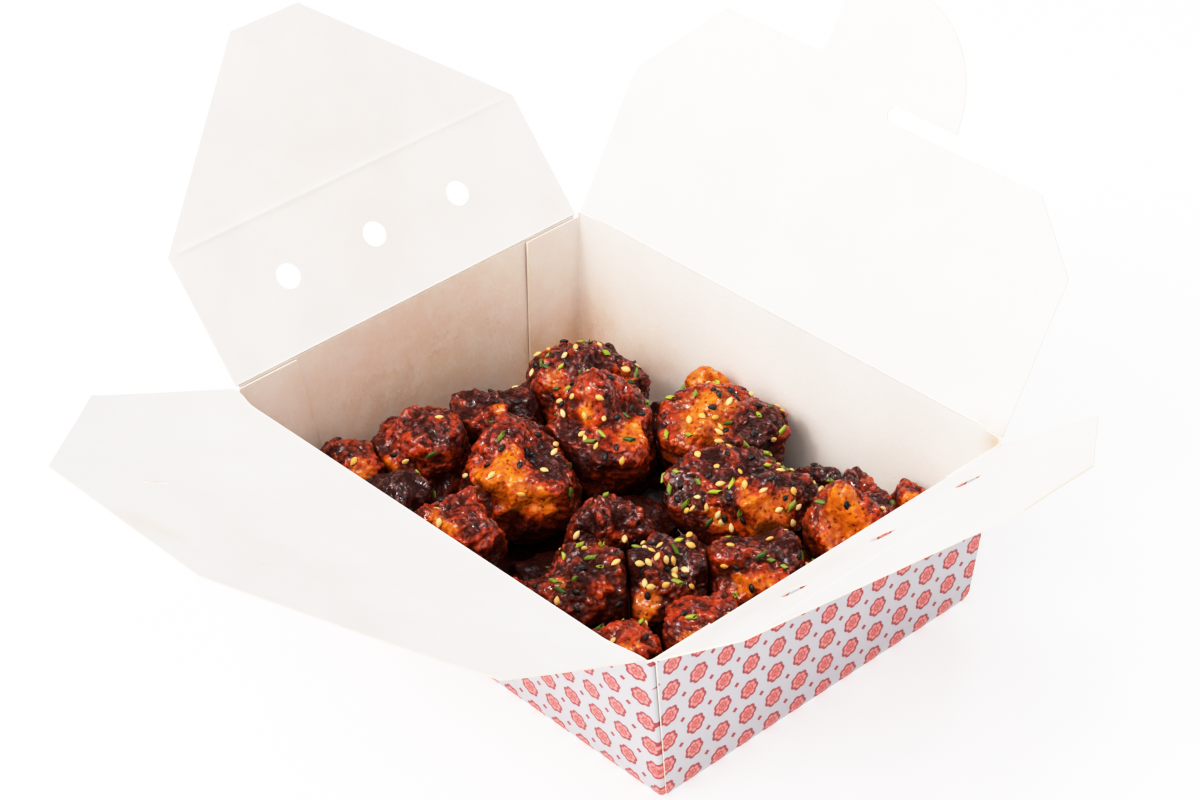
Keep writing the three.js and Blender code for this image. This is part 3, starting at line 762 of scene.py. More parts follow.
# the front flap curls up over its bend, and its fold follows the bowed rim at both corners
def makeFrontFlap(materials):
    f, half = frontFlap, flaps["coverHalf"]
    bend = math.radians(f["bend"])
    run = f["bendEnd"] - f["bendStart"]

    def foldLine(x):
        return -f["cornerReach"] * (1 - bowShare(x, half))

    x = np.linspace(-half, half, 90)
    start = np.column_stack([x, foldLine(x) + flaps["hingeGap"]])
    far = walk([(half, f["cut"]), (f["tipHalf"], f["reach"]), (-f["tipHalf"], f["reach"]),
                (-half, f["cut"]), (half, f["cut"])], flaps["spacing"])
    up = np.linspace(0, 1, 24)[1:-1, None]
    rightSide = start[-1] + up * (np.array([half, f["cut"]]) - start[-1])
    corner = np.where(np.isclose(far[:, 0], -half) & np.isclose(far[:, 1], f["cut"]))[0][0]
    leftSide = rightSide[::-1] * np.array([-1, 1])
    outline = np.vstack([start, rightSide, far[:corner + 1], leftSide])
    w, bar, at = f["slitWidth"] / 2, f["slitBar"], f["slitAt"]
    left, right = f["slitFrom"], f["slitTo"]
    wide, (low, high) = f["openWidth"] / 2, f["openBar"]
    slit = np.array([
        (left - w, at - bar), (left + w, at - bar), (left + w, at - w), (right - w, at - w),
        (right - wide, at + low), (right + wide, at + low), (right + wide, at + high),
        (right - wide, at + high), (right - w, at + w), (left + w, at + w), (left + w, at + bar),
        (left - w, at + bar),
    ])
    filled = fillOutline(outline, [slit], flaps["spacing"])

    def surface(flat, height):
        distance = flat[:, 1]
        angle = bend * np.clip(distance - f["bendStart"], 0, run) / run
        radius = run / bend
        after = np.maximum(distance - f["bendEnd"], 0)
        y = np.minimum(distance, f["bendStart"]) + radius * np.sin(angle) + after * math.cos(bend)
        z = radius * (1 - np.cos(angle)) + after * math.sin(bend)
        rise = waves(flat, 9) + height
        return np.column_stack([flat[:, 0], y - rise * np.sin(angle), z + rise * np.cos(angle)])

    path = np.column_stack([x, foldLine(x), 0 * x])
    hangFlap("frontLidFlap", "front", filled, surface, path, materials)


crustForm = {                  # on a ball of radius 1: ranges are lowest value and spread
    "knobs": 20, "raisedShare": 0.7, "height": (0.08, 0.18), "dent": (0.09, 0.16),
    "width": (0.2, 0.25), "cuts": 5, "cutAt": (0.75, 0.15),
}
crag = {                       # relief of the crust: size of the lumps and how far they stand out
    "lump": 13.0, "lumpRise": 2.0, "fold": 10.0, "foldRise": 1.3, "ridge": 5.0, "ridgeRise": 0.9,
    "cobble": 3.0, "cobbleRise": 1.15, "grain": 1.35, "grainRise": 0.6, "warp": 2.4,
    "warpSize": 6.0, "ragged": (7.0, 3.0), "raggedness": 0.2,        # frayed edges of the amber
    "smoothAmber": 0.5, "smoothing": 16.0, "gap": 0.3, "margin": 0.05, "farApart": 1.4,
    # where pieces touch and low down, the crust darkens to near black: sauce and painted shade
    "pressedSauceShade": (0.93, 0.985), "lowSauceShadeHeight": (13.0, 29.0),     # sauce in the clefts and below
}
# The pieces, numbered from 1. at: centre. size: half length, half depth, rise above the centre
# and drop below it. turn: heading of the length. toppings: seeds and chives. extra: white seeds,
# black seeds and chives strewn besides. fine: facets along an edge of the cube behind the
# piece's grid. tone: amber and red all over. patches: kind, right, up, width and strength, as
# the piece is seen in the picture.
pieceColumns = ("at", "size", "turn", "toppings", "extra", "fine", "tone", "patches")
pieceRows = [
    ((-61, 42, 22), (23, 19, 17, 21), 35, (6, 4), (11, 11, 9), 56, (0.05, 0.4), [
        ("red", -0.9, 0.2, 0.6, 0.9), ("amber", -0.8, 0.5, 0.35, 0.8), ("amber", 0.9, 0.4, 0.3, 0.7),
        ("burnt", 0.1, 0.9, 0.5, 0.9)]),
    ((-31, 22, 28), (21, 20, 15, 27), 20, (9, 3), (8, 11, 8), 56, (0.1, 0.5), [
        ("red", 0, 0, 1.0, 0.7), ("amber", -0.5, 0.75, 0.35, 0.85), ("amber", 0.65, 0.15, 0.32, 0.95),
        ("red", 0.5, -0.5, 0.5, 1.0), ("burnt", 0.25, 0.95, 0.4, 0.7), ("burnt", -0.7, -0.4, 0.5, 0.9)]),
    ((-3, 53, 30), (24, 19, 13, 28), 45, (8, 4), (10, 9, 7), 56, (0.3, 0.5), [
        ("amber", -0.5, 0.4, 0.6, 0.9), ("amber", 0.2, 0.45, 0.5, 0.8), ("red", 0, -0.1, 0.6, 0.9),
        ("burnt", 1.0, 0.2, 0.4, 0.9), ("burnt", 0.6, -0.4, 0.35, 0.6)]),
    ((-22, 66, 29), (8, 7, 7.5, 19), 40, (0, 1), (0, 0, 2), 32, (0.4, 0.6), [
        ("amber", 0, 0, 1.3, 0.9)]),
    ((-36, -11, 25), (22, 21, 16, 24), 55, (4, 3), (2, 8, 1), 56, (0.08, 0.4), [
        ("red", -0.1, 0.1, 0.8, 0.8), ("amber", -0.2, 0.6, 0.3, 1.0), ("amber", -0.55, 0.15, 0.5, 1.0),
        ("amber", 0.05, -0.15, 0.4, 1.0), ("amber", 0.38, -0.4, 0.4, 1.0), ("red", -0.3, -0.6, 0.3, 1.0),
        ("burnt", 0.75, 0.3, 0.5, 1.0), ("burnt", 0.35, 0.8, 0.32, 0.8)]),
    ((-72, -27, 23), (20, 20, 19, 22), 80, (4, 1), (1, 2, 0), 56, (0.05, 0.4), [
        ("red", -0.4, 0, 0.5, 1.0), ("amber", -0.6, -0.05, 0.32, 0.85), ("red", 0.3, -0.1, 0.4, 0.7),
        ("burnt", 0.2, 0.75, 0.6, 1.0), ("amber", -0.35, 0.55, 0.16, 0.6)]),
    ((-80, -56, 26), (14, 14, 12, 24), 30, (1, 0), (0, 2, 1), 44, (0.3, 0.5), [
        ("amber", 0.1, -0.1, 0.6, 1.0), ("burnt", 0.1, 0.85, 0.5, 0.9)]),
    ((-71, 5, 20), (20, 18, 12.5, 19), 60, (3, 1), (3, 5, 2), 50, (0, 0.2), [
        ("amber", 0.25, 0.65, 0.24, 0.95), ("red", -0.5, 0, 0.4, 0.5)]),
    ((-26, -51.5, 25), (14, 13.5, 15.5, 24), 30, (2, 1), (1, 1, 0), 50, (0.15, 0.5), [
        ("red", -0.2, 0.3, 0.7, 1.0), ("amber", -0.3, 0.4, 0.34, 0.9), ("amber", 0.15, 0.3, 0.2, 0.8),
        ("burnt", 0.6, 0.5, 0.3, 0.5)]),
    ((9, -10.5, 24), (12.5, 11.5, 13, 23), 10, (2, 2), (1, 2, 2), 50, (0.02, 0.25), [
        ("red", 0.2, -0.2, 0.5, 0.6), ("amber", -0.5, -0.4, 0.25, 0.6)]),
    ((32, 32, 26), (27, 19, 14.5, 25), 40, (13, 7), (20, 16, 15), 64, (0.12, 0.42), [
        ("red", -0.4, -0.5, 0.6, 1.0), ("red", 0.5, 0, 0.5, 0.8), ("amber", -0.12, 0.25, 0.34, 0.95),
        ("amber", -0.8, -0.35, 0.3, 0.8), ("amber", 0.3, -0.25, 0.4, 0.85), ("amber", -0.5, -0.65, 0.3, 0.7),
        ("burnt", -0.6, 0.15, 0.3, 0.9), ("burnt", 0.25, 0.6, 0.3, 0.6), ("amber", 0.7, 0.1, 0.25, 0.6)]),
    ((62, 8, 25), (20, 16, 12.5, 24), 55, (4, 3), (5, 6, 6), 50, (0.15, 0.5), [
        ("red", -0.2, 0, 0.7, 1.0), ("amber", -0.5, -0.2, 0.4, 0.85), ("amber", 0.3, 0.1, 0.3, 0.6),
        ("burnt", 0.6, 0.45, 0.4, 0.7)]),
    ((70, 44, 31), (16, 15, 16, 28), 70, (1, 1), (0, 1, 2), 50, (0.2, 0.4), [
        ("amber", -0.3, 0.1, 0.8, 1.0), ("red", -0.05, -0.4, 0.2, 0.9), ("burnt", 0.6, 0.6, 0.42, 0.95)]),
    ((80, 65, 28), (12, 10, 10, 26), 40, (0, 0), (0, 1, 0), 36, (0.2, 0.5), [
        ("amber", -0.2, 0.2, 0.5, 0.7), ("red", 0, 0, 0.9, 0.7)]),
    ((26, -39, 25), (19, 16, 15, 24), 55, (4, 3), (3, 7, 7), 50, (0.04, 0.4), [
        ("red", -0.3, 0.1, 0.7, 0.8), ("amber", -0.6, 0.3, 0.25, 0.6), ("amber", 0.5, 0.1, 0.25, 0.6),
        ("burnt", 0.2, 0.6, 0.35, 0.6)]),
    ((44, -17, 25), (16, 15, 15.5, 24), 75, (8, 2), (12, 8, 4), 50, (0.05, 0.35), [
        ("amber", -0.55, -0.35, 0.42, 0.95), ("red", 0.2, -0.3, 0.6, 0.8), ("burnt", 0.1, 0.7, 0.45, 0.7)]),
    ((59, -53, 24), (17, 15, 11, 23), 40, (2, 1), (0, 2, 3), 50, (0.15, 0.55), [
        ("red", -0.3, 0.2, 0.8, 1.0), ("amber", 0.2, 0.35, 0.3, 0.8)]),
    ((75, -27, 25), (18, 16, 12, 24), 50, (2, 2), (0, 3, 2), 50, (0.2, 0.5), [
        ("red", 0.1, 0.4, 0.6, 0.9), ("amber", -0.5, 0.1, 0.45, 1.0), ("amber", 0.25, 0.1, 0.32, 0.9)]),
    ((37, 63, 13), (13, 10, 13, 12), 20, (0, 0), (0, 2, 1), 36, (0, 0.1), []),
    # piece 20 sits in a dark gap: no amber and little red keep it near the burnt colour, painted shade with
    # sauce
    ((-50, -55, 19), (19, 16, 16, 18), 10, (2, 1), (1, 2, 1), 40, (0, 0.05), []),
    ((6, -60, 17), (17, 14, 14, 16), 5, (1, 1), (1, 2, 1), 36, (0.1, 0.5), [
        ("amber", 0, 0.5, 0.5, 0.8)]),
    ((36, -63, 15), (14, 12, 13, 14), 0, (1, 0), (1, 1, 1), 36, (0.05, 0.4), [
        ("red", 0, 0.5, 0.8, 0.8)]),
    ((86, -58, 20), (15, 15, 15, 19), 60, (1, 1), (0, 2, 1), 40, (0.1, 0.5), [
        ("amber", -0.3, 0.4, 0.6, 0.8)]),
    ((87, -3, 17), (15, 13, 15, 16), 80, (2, 0), (1, 2, 1), 40, (0.05, 0.4), [
        ("red", 0, 0.4, 0.8, 0.8)]),
    ((88, 23, 18), (14, 13, 15, 17), 75, (1, 1), (1, 2, 1), 40, (0.1, 0.45), [
        ("amber", 0, 0.4, 0.6, 0.8)]),
    # the low filler pieces lie mostly in the lowest band, which paints them near black: sauce and painted
    # shade
    ((-5, 12, 8), (18, 13, 7, 7), 30, (0, 0), (0, 0, 0), 24, (0, 0.2), []),
    ((-4, -26, 7.5), (15, 12, 6.5, 6.5), 60, (0, 0), (0, 0, 0), 24, (0, 0.2), []),
    ((-32, 55, 11), (15, 13, 10, 10), 20, (0, 0), (0, 0, 0), 24, (0, 0.2), []),
    ((33, 6, 11), (15, 12, 10, 10), 0, (0, 0), (0, 0, 0), 24, (0, 0.2), []),
    ((-85, 30, 9), (14, 12, 8, 8), 70, (0, 0), (0, 0, 0), 28, (0, 0.3), []),
]
pieces = [dict(zip(pieceColumns, row)) for row in pieceRows]


# draws between 0 and 1, the same as those that shaped the solid piece
def makeDraws(number):
    state = 97 * number + 13
    while True:
        state = (state * 1664525 + 1013904223) % 2 ** 32
        yield state / 2 ** 32


def drawDirection(draws):
    z = 2 * next(draws) - 1
    angle = 2 * math.pi * next(draws)
    flat = math.sqrt(1 - z * z)
    return np.array([flat * math.cos(angle), flat * math.sin(angle), z])


def drawCrust(draws):
    form = crustForm
    knobs, cuts = [], []
    for _ in range(form["knobs"]):
        toward = drawDirection(draws)
        isRaised = next(draws) < form["raisedShare"]
        low, spread = form["height"] if isRaised else form["dent"]
        height = (low + spread * next(draws)) * (1 if isRaised else -1)
        knobs.append((toward, height, form["width"][0] + form["width"][1] * next(draws)))
    for _ in range(form["cuts"]):
        cuts.append((drawDirection(draws), form["cutAt"][0] + form["cutAt"][1] * next(draws)))
    return knobs, cuts


# distance from the centre for each direction on a ball: 1, cut flat in a few places, with a
# round bump or dent for each knob
def crustReach(directions, crust):
    knobs, cuts = crust
    total = np.ones(len(directions))
    for toward, at in cuts:
        facing = directions @ toward
        total = np.where(facing * total > at, at / np.maximum(facing, 1e-6), total)
    for toward, height, width in knobs:
        apart = ((directions - toward) ** 2).sum(-1)
        total = total + height * np.exp(-apart / width ** 2)
    return total


def turnFlat(points, degrees):
    turned = Matrix.Rotation(math.radians(degrees), 3, "Z")
    return points @ np.array(turned).T


# the ball's directions stretched to the piece's sizes, times the reach, turned to its heading
def shapePoints(piece, directions, reach):
    length, depth, rise, drop = piece["size"]
    tall = np.where(directions[:, 2] > 0, rise, drop)
    stretch = np.column_stack([0 * tall + length, 0 * tall + depth, tall])
    return turnFlat(directions * stretch * reach[:, None], piece["turn"])


def supportOf(piece, direction):
    length, depth, rise, drop = piece["size"]
    local = turnFlat(direction[None], -piece["turn"])[0]
    tall = rise if local[2] > 0 else drop
    return math.hypot(local[0] * length, local[1] * depth, local[2] * tall)


# planes that a piece stays behind: the board around it, and one towards each neighbour
def limitsOf(piece):
    centre = np.array(piece["at"], float)
    slopeX = (tray["rimLength"] - tray["baseLength"]) / 2 / tray["depth"]
    slopeY = (tray["rimWidth"] - tray["baseWidth"]) / 2 / tray["depth"]
    inset = 2 * board + crag["gap"]
    limits = [(np.array([0, 0, -1.0]), -(board + crag["gap"]))]
    for side in (-1, 1):
        limits.append((np.array([side, 0, -slopeX]), tray["baseLength"] / 2 - inset))
        limits.append((np.array([0, side, -slopeY]), tray["baseWidth"] / 2 - inset))
    for other in pieces:
        if other is piece:
            continue
        toward = np.array(other["at"]) - centre
        apart = np.linalg.norm(toward)
        toward = toward / apart
        own, theirs = supportOf(piece, toward), supportOf(other, -toward)
        if apart > crag["farApart"] * (own + theirs):
            continue
        stop = apart * own / (own + theirs) - crag["gap"] / 2
        limits.append((toward, toward @ centre + stop))
    return [(normal, offset - normal @ centre) for normal, offset in limits]


# what part of its way from the centre each point may go: a hard stop for the toppings' spots,
# and for the crust a soft one, which rounds the edges where pieces touch
def holdBack(points, limits, margin, power=None):
    share = np.ones(len(points))
    pressed = np.ones(len(points))
    for normal, room in limits:
        wanted = points @ normal
        if power is None:
            over = wanted > room - margin
            share = np.where(over, np.minimum(share, (room - margin) / np.where(over, wanted, 1)), share)
        else:
            pressed = pressed + (np.maximum(wanted, 0) / (room - margin)) ** power
    return share if power is None else pressed ** (-1 / power)


# directions over a cube's six faces, each a grid of two angles, drawn together at its seams
def ballGrid(count):
    angle = np.tan(np.linspace(-1, 1, count + 1) * math.pi / 4)
    u, v = np.meshgrid(angle, angle, indexing="ij")
    flat = np.stack([u, v, 1 + 0 * u], -1).reshape(-1, 3)
    points, faces = [], []
    for k, (order, sign) in enumerate(itertools.product(((0, 1, 2), (2, 0, 1), (1, 2, 0)), (1, -1))):
        face = flat[:, order] * sign
        quads = gridFaces(count + 1, count + 1)
        points.append(face)
        faces.append((quads[:, ::-1] if sign > 0 else quads) + k * len(flat))
    points, faces = np.vstack(points), np.vstack(faces)
    points /= np.linalg.norm(points, axis=-1, keepdims=True)
    _, first, inverse = np.unique(np.round(points * 1e5).astype(np.int64), axis=0,
                                  return_index=True, return_inverse=True)
    points, faces = points[first], inverse.ravel()[faces]
    middle = points[faces].mean(1)
    normal = np.cross(points[faces[:, 1]] - points[faces[:, 0]], points[faces[:, 2]] - points[faces[:, 0]])
    if (normal * middle).sum() < 0:
        faces = faces[:, ::-1]
    return points, faces


# how much of each finish lies in each direction from a piece's centre
def patchMasks(piece, ways):
    right, up, back = cameraAxes()
    masks = {kind: np.full(len(ways), piece["tone"][k]) for k, kind in enumerate(("amber", "red"))}
    for kind, along, above, width, strength in piece["patches"]:
        toward = back + along * right + above * up
        toward = toward / np.linalg.norm(toward)
        apart = ((ways - toward) ** 2).sum(-1)
        share = strength * np.exp(-apart / width ** 2)
        for title in masks:
            if kind == "burnt":
                masks[title] = masks[title] * (1 - share)
            elif kind == title:
                masks[title] = masks[title] + (1 - masks[title]) * share
    return masks


# the crust's surface in each direction: the solid piece's form with lumps, folds, cobbles and
# grains of batter on it, lower where it is smooth and amber
def crustSurface(piece, number, crust, limits, directions):
    reach = crustReach(directions, crust)
    base = shapePoints(piece, directions, reach)
    size = np.linalg.norm(base, axis=-1)
    ways = base / size[:, None]
    place = base + np.array(piece["at"])
    masks = patchMasks(piece, ways)
    (broad, narrow), strength = crag["ragged"], crag["raggedness"]
    edge = softNoise(place, broad, number + 40) + 0.7 * softNoise(place, narrow, number + 41)
    masks["amber"] = np.clip(masks["amber"] + strength * edge * (masks["amber"] > 0.02), 0, 1)
    smooth = 1 - crag["smoothAmber"] * smoothStep(masks["amber"], 0.3, 0.75)
    warp = np.stack([softNoise(place, crag["warpSize"], number + 50 + k) for k in range(3)], -1)
    bent = place + crag["warp"] * warp
    cobble = blobs(bent, crag["cobble"], number + 3)
    grain = blobs(place, crag["grain"], number + 9)
    fold = 1 - 2.6 * np.abs(softNoise(bent, crag["fold"], number + 60))
    ridge = 1 - 2.2 * np.abs(softNoise(bent, crag["ridge"], number + 21))
    relief = crag["lumpRise"] * softNoise(bent, crag["lump"], number) + crag["foldRise"] * (fold - 0.2)
    relief += smooth * (crag["ridgeRise"] * (ridge * (0.6 + 0.4 * cobble) - 0.4))
    relief += smooth * (crag["cobbleRise"] * (cobble - 0.5) + crag["grainRise"] * (grain - 0.45))
    local = base + ways * relief[:, None]
    share = holdBack(local, limits, crag["margin"], crag["smoothing"])
    local *= share[:, None]
    # painted shade with sauce: the mask is high in the crust's hollows, where it presses on a neighbour, and
    # low down on the piece
    sauceShade = 1 - smoothStep(0.45 * cobble + 0.3 * grain + 0.2 * ridge + 0.15 * fold, 0.1, 0.75)
    pressed = 1 - smoothStep(share, *crag["pressedSauceShade"])
    points = local + np.array(piece["at"])
    lowSauceShade = 1 - smoothStep(points[:, 2] + 4 * edge, *crag["lowSauceShadeHeight"])
    sauceShade = np.maximum(sauceShade * smooth, np.maximum(0.9 * pressed, lowSauceShade))
    return points, {
        "amber": masks["amber"], "red": masks["red"], "sauceShade": sauceShade, "tip": grain * smooth,
    }


crustTones = {                 # a darker and a brighter finish beside the middle one
    "crust_dark_red": {"shade": 1.02, "warm": 0.0}, "crust_brown": {"shade": 1.17, "warm": 0.1},
    "crust_amber": {"shade": 1.15, "warm": 0.2}, "crust_deep_brown": {"shade": 0.97, "warm": 0.0},
}


# batter under a dark glaze: colour from the amber and red patches, near black in the hollows, where pieces
# touch and low down: painted shade with sauce
def makeGlazedCrust():
    tree, r, given, result = newGroup("glazedCrust", [
        ("Vector", "NodeSocketVector", None), ("Amber", "NodeSocketFloat", 0.0),
        ("Red", "NodeSocketFloat", 0.0), ("Hollow", "NodeSocketFloat", 0.0),
        ("Tip", "NodeSocketFloat", 0.0), ("Shade", "NodeSocketFloat", 1.0),
        ("Warm", "NodeSocketFloat", 0.0),
    ], [
        ("Color", "NodeSocketColor"), ("Roughness", "NodeSocketFloat"), ("Height", "NodeSocketFloat"),
        ("Gloss", "NodeSocketFloat"),
    ])
    broad = r.noise(given["Vector"], 110.0, 3.0, 0.6)
    middle = r.noise(given["Vector"], 420.0, 4.0, 0.6)
    fine = r.noise(given["Vector"], 1300.0, 3.0, 0.6)
    grains = r.node("ShaderNodeTexVoronoi", {
        "Vector": given["Vector"], "Scale": 1000.0, "Randomness": 1.0,
    }, feature="SMOOTH_F1").outputs
    pick = r.node("ShaderNodeSeparateColor", {"Color": grains["Color"]}).outputs["Red"]
    mottle = r.math("MULTIPLY_ADD", broad, 2.1, r.math("MULTIPLY_ADD", middle, 0.5, -1.3))
    mottle = r.math("MULTIPLY_ADD", r.math("SUBTRACT", pick, 0.5), 0.3, mottle)
    burnt = r.mix(r.fade(middle, 0.35, 0.65), rgb(0.022, 0.003, 0.003), rgb(0.15, 0.028, 0.020))
    redTone = r.mix(r.fade(middle, 0.35, 0.65), rgb(0.15, 0.005, 0.001), rgb(0.46, 0.045, 0.004))
    amberTone = r.mix(r.fade(middle, 0.3, 0.6), rgb(0.60, 0.075, 0.003), rgb(0.90, 0.22, 0.008))
    redShare = r.math("ADD", r.math("ADD", given["Red"], given["Warm"]), mottle)
    color = r.mix(r.fade(redShare, 0.15, 0.75), burnt, redTone)
    amberShare = r.math("ADD", given["Amber"], r.math("MULTIPLY", mottle, 0.5))
    color = r.mix(r.fade(amberShare, 0.1, 0.4), color, rgb(0.48, 0.045, 0.003))
    color = r.mix(r.fade(amberShare, 0.38, 0.78), color, amberTone)
    # paler orange on the tips of the grains
    paleTips = r.math("MULTIPLY", r.fade(given["Tip"], 0.4, 0.85), r.fade(pick, 0.4, 0.85, 0.0, 0.5))
    color = r.mix(paleTips, color, rgb(0.55, 0.12, 0.02))
    speckle = r.math("MULTIPLY", r.fade(pick, 0.2, 0.12), r.fade(fine, 0.4, 0.55, 0.3, 0.8))
    color = r.mix(speckle, color, rgb(0.05, 0.006, 0.004))
    # painted shade with sauce: near black where the hollow, touch and low-down mask is high
    color = r.mix(r.math("MULTIPLY", given["Hollow"], 0.9), color, rgb(0.020, 0.003, 0.002))
    height = r.math("MULTIPLY_ADD", grains["Distance"], -0.8, r.math("MULTIPLY", middle, 0.7))
    height = r.math("MULTIPLY", height, r.fade(given["Amber"], 0.3, 0.9, 1.0, 0.5))
    rough = r.fade(fine, 0.35, 0.7, 0.3, 0.55)
    dull = r.fade(given["Hollow"], 0.75, 1.0, 1.0, 0.2)
    gloss = r.math("MULTIPLY", r.fade(pick, 0.35, 0.65, 0.12, 1.0), dull)
    color = r.scaled(color, given["Shade"])
    feed(r, result, Color=color, Roughness=rough, Height=height, Gloss=gloss)
    return tree


def makeCrustMaterials():
    glaze = makeGlazedCrust()
    materials = {}
    for slot, tone in crustTones.items():
        words = slot.split("_")
        name = words[0] + "".join(word.capitalize() for word in words[1:])
        material, r, shader = newMaterial(name, rgb(0.25, 0.05, 0.02))
        place = r.objectPlace()
        look = useGroup(r, glaze, Vector=place, Amber=r.column("amber"), Red=r.column("red"),
                        Hollow=r.column("sauceShade"), Tip=r.column("tip"), Shade=tone["shade"],
                        Warm=tone["warm"])
        relief = r.bump(look["Height"], 0.8, 0.0007)
        feed(r, shader.inputs, Base_Color=look["Color"], Roughness=look["Roughness"], Normal=relief)
        feed(r, shader.inputs, Coat_Weight=look["Gloss"], Coat_Roughness=0.04, Coat_IOR=1.6)
        feed(r, shader.inputs, IOR=1.45, Specular_IOR_Level=0.08)
        materials[slot] = material
    return materials


def makeChicken(materials):
    slots = list(crustTones)
    laid = []
    grids = {}
    for number, piece in enumerate(pieces, start=1):
        draws = makeDraws(number)
        crust = drawCrust(draws)
        limits = limitsOf(piece)
        if piece["fine"] not in grids:
            grids[piece["fine"]] = ballGrid(piece["fine"])
        directions, faces = grids[piece["fine"]]
        points, columns = crustSurface(piece, number, crust, limits, directions)
        slot = slots[number % len(slots)]
        chunk = newMesh(f"chickenPiece{number:02d}", points, faces, [materials[slot]], attributes=columns)
        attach(chunk, "box")
        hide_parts(f"chicken_{number:02d}")
        laid.append({"piece": piece, "number": number, "crust": crust, "limits": limits, "draws": draws})
    return laid


toppings = {
    "apart": 0.34, "lowest": 0.1, "margin": 2.6, "attempts": 400, "extraApart": 0.13,
    "seed": (3.35, 2.15, 1.35), "seedLift": 0.35, "chiveLength": 3.1, "chiveRadius": 0.9,
    "chiveLift": 0.4, "whiteShare": 0.68,
}


# the solid pieces' own spots first, then the extra ones, closer together. Each spot is a
# direction with two draws, for its topping's growth and spin.
def chooseSpots(entry):
    t, piece = toppings, entry["piece"]
    seeds, chives = piece["toppings"]
    spots = []

    def take(draws, count, apart, attempts):
        tries = [(drawDirection(draws), next(draws), next(draws)) for _ in range(attempts)]
        ways = np.array([k[0] for k in tries])
        reached = shapePoints(piece, ways, crustReach(ways, entry["crust"]))
        isFree = holdBack(reached, entry["limits"], t["margin"]) >= 1
        goal = len(spots) + count
        for (way, growth, spin), free in zip(tries, isFree):
            if len(spots) >= goal or way[2] < t["lowest"] or not free:
                continue
            if any(np.linalg.norm(way - other[0]) < apart for other in spots):
                continue
            spots.append((way, growth, spin))

    take(entry["draws"], seeds + chives, t["apart"], t["attempts"])
    kinds = ["seed"] * min(seeds, len(spots)) + ["chive"] * (len(spots) - min(seeds, len(spots)))
    first = len(spots)
    extra = piece["extra"]
    take(makeDraws(entry["number"] + 500), sum(extra), t["extraApart"], t["attempts"])
    more = ["white"] * extra[0] + ["black"] * extra[1] + ["chive"] * extra[2]
    return spots, kinds + more[:len(spots) - first]


# where each direction meets the crust, and the crust's normal there from two steps beside it
def surfaceAt(entry, ways):
    step = 0.03
    side = np.cross(ways, [0.3, 0.2, 1.0])
    side /= np.linalg.norm(side, axis=-1, keepdims=True)
    other = np.cross(ways, side)

    def point(directions):
        directions = directions / np.linalg.norm(directions, axis=-1, keepdims=True)
        return crustSurface(entry["piece"], entry["number"], entry["crust"], entry["limits"], directions)[0]

    here = point(ways)
    normal = np.cross(point(ways + step * side) - here, point(ways + step * other) - here)
    normal /= np.linalg.norm(normal, axis=-1, keepdims=True)
    outward = np.sign((normal * (here - np.array(entry["piece"]["at"]))).sum(-1, keepdims=True))
    return here, normal * outward


# copies of a small template: each is scaled, spun about its up axis, stood on its normal and
# moved to its place
def strew(template, faces, places, normals, spins, scales, tints):
    count = len(places)
    lean = np.cross(normals, np.array([0.13, 0.97, 0.21]))
    lean /= np.linalg.norm(lean, axis=-1, keepdims=True)
    other = np.cross(normals, lean)
    first = np.cos(spins)[:, None] * lean + np.sin(spins)[:, None] * other
    second = np.cross(normals, first)
    axes = np.stack([first, second, normals], 1)
    points = np.einsum("vk,nk,nkj->nvj", template, scales, axes) + places[:, None]
    index = faces[None] + (np.arange(count) * len(template))[:, None, None]
    return points.reshape(-1, 3), index.reshape(-1, faces.shape[1]), np.repeat(tints, len(template))


# a seed: rings along its length whose radius rises slowly from the pointed end and falls fast
def seedTemplate():
    along = (1 - np.cos(np.linspace(0, math.pi, 8))) / 2
    around = np.linspace(0, 2 * math.pi, 10, endpoint=False)
    swell = np.sin(math.pi * along ** 1.2) ** 0.62
    swell[[0, -1]] = 0.04
    points = np.stack([
        (along[:, None] - 0.5) + 0 * around, 0.5 * swell[:, None] * np.cos(around),
        0.5 * swell[:, None] * np.sin(around),
    ], -1).reshape(-1, 3)
    faces = gridFaces(8, 10, wrapColumns=True)
    return points, orient(points, faces)


# a cut chive: a short tube, its wall's profile (outside, end, inside, end) carried round
def chiveTemplate():
    around = np.linspace(0, 2 * math.pi, 12, endpoint=False)
    profile = np.array([(-0.5, 0.94), (-0.42, 1.0), (0.42, 1.0), (0.5, 0.94), (0.48, 0.66), (-0.48, 0.66)])
    ring = np.stack([
        profile[:, :1] + 0 * around, profile[:, 1:] * np.cos(around), profile[:, 1:] * np.sin(around),
    ], -1)
    points = ring.reshape(-1, 3)
    points[:, 0] += 0.28 * points[:, 1]         # cut aslant
    faces = gridFaces(6, 12, wrapColumns=True)
    last = np.arange(12)
    close = np.stack([5 * 12 + last, 5 * 12 + (last + 1) % 12, (last + 1) % 12, last], -1)
    return points, orient(points, np.vstack([faces, close]))


# turns the faces round if the closed form's signed volume is negative
def orient(points, faces):
    a, b, c, d = (points[faces[:, k]] for k in range(4))
    volume = (a * np.cross(b, c)).sum() + (a * np.cross(c, d)).sum()
    return faces if volume > 0 else faces[:, ::-1]


def makeSeedMaterial(name, pale, deep, rough):
    material, r, shader = newMaterial(name, pale)
    place = r.objectPlace()
    cloud = r.noise(place, 700.0, 3.0)
    color = r.mix(r.column("tint"), deep, pale)
    color = r.mix(r.fade(cloud, 0.5, 0.75, 0.0, 0.35), color, deep)
    relief = r.bump(r.noise(place, 1600.0, 2.0), 0.4, 0.0002)
    uneven = r.fade(cloud, 0.3, 0.7, rough, rough + 0.15)
    feed(r, shader.inputs, Base_Color=color, Roughness=uneven, Normal=relief)
    feed(r, shader.inputs, Coat_Weight=0.25, Coat_Roughness=0.12, Specular_IOR_Level=0.25)
    return material


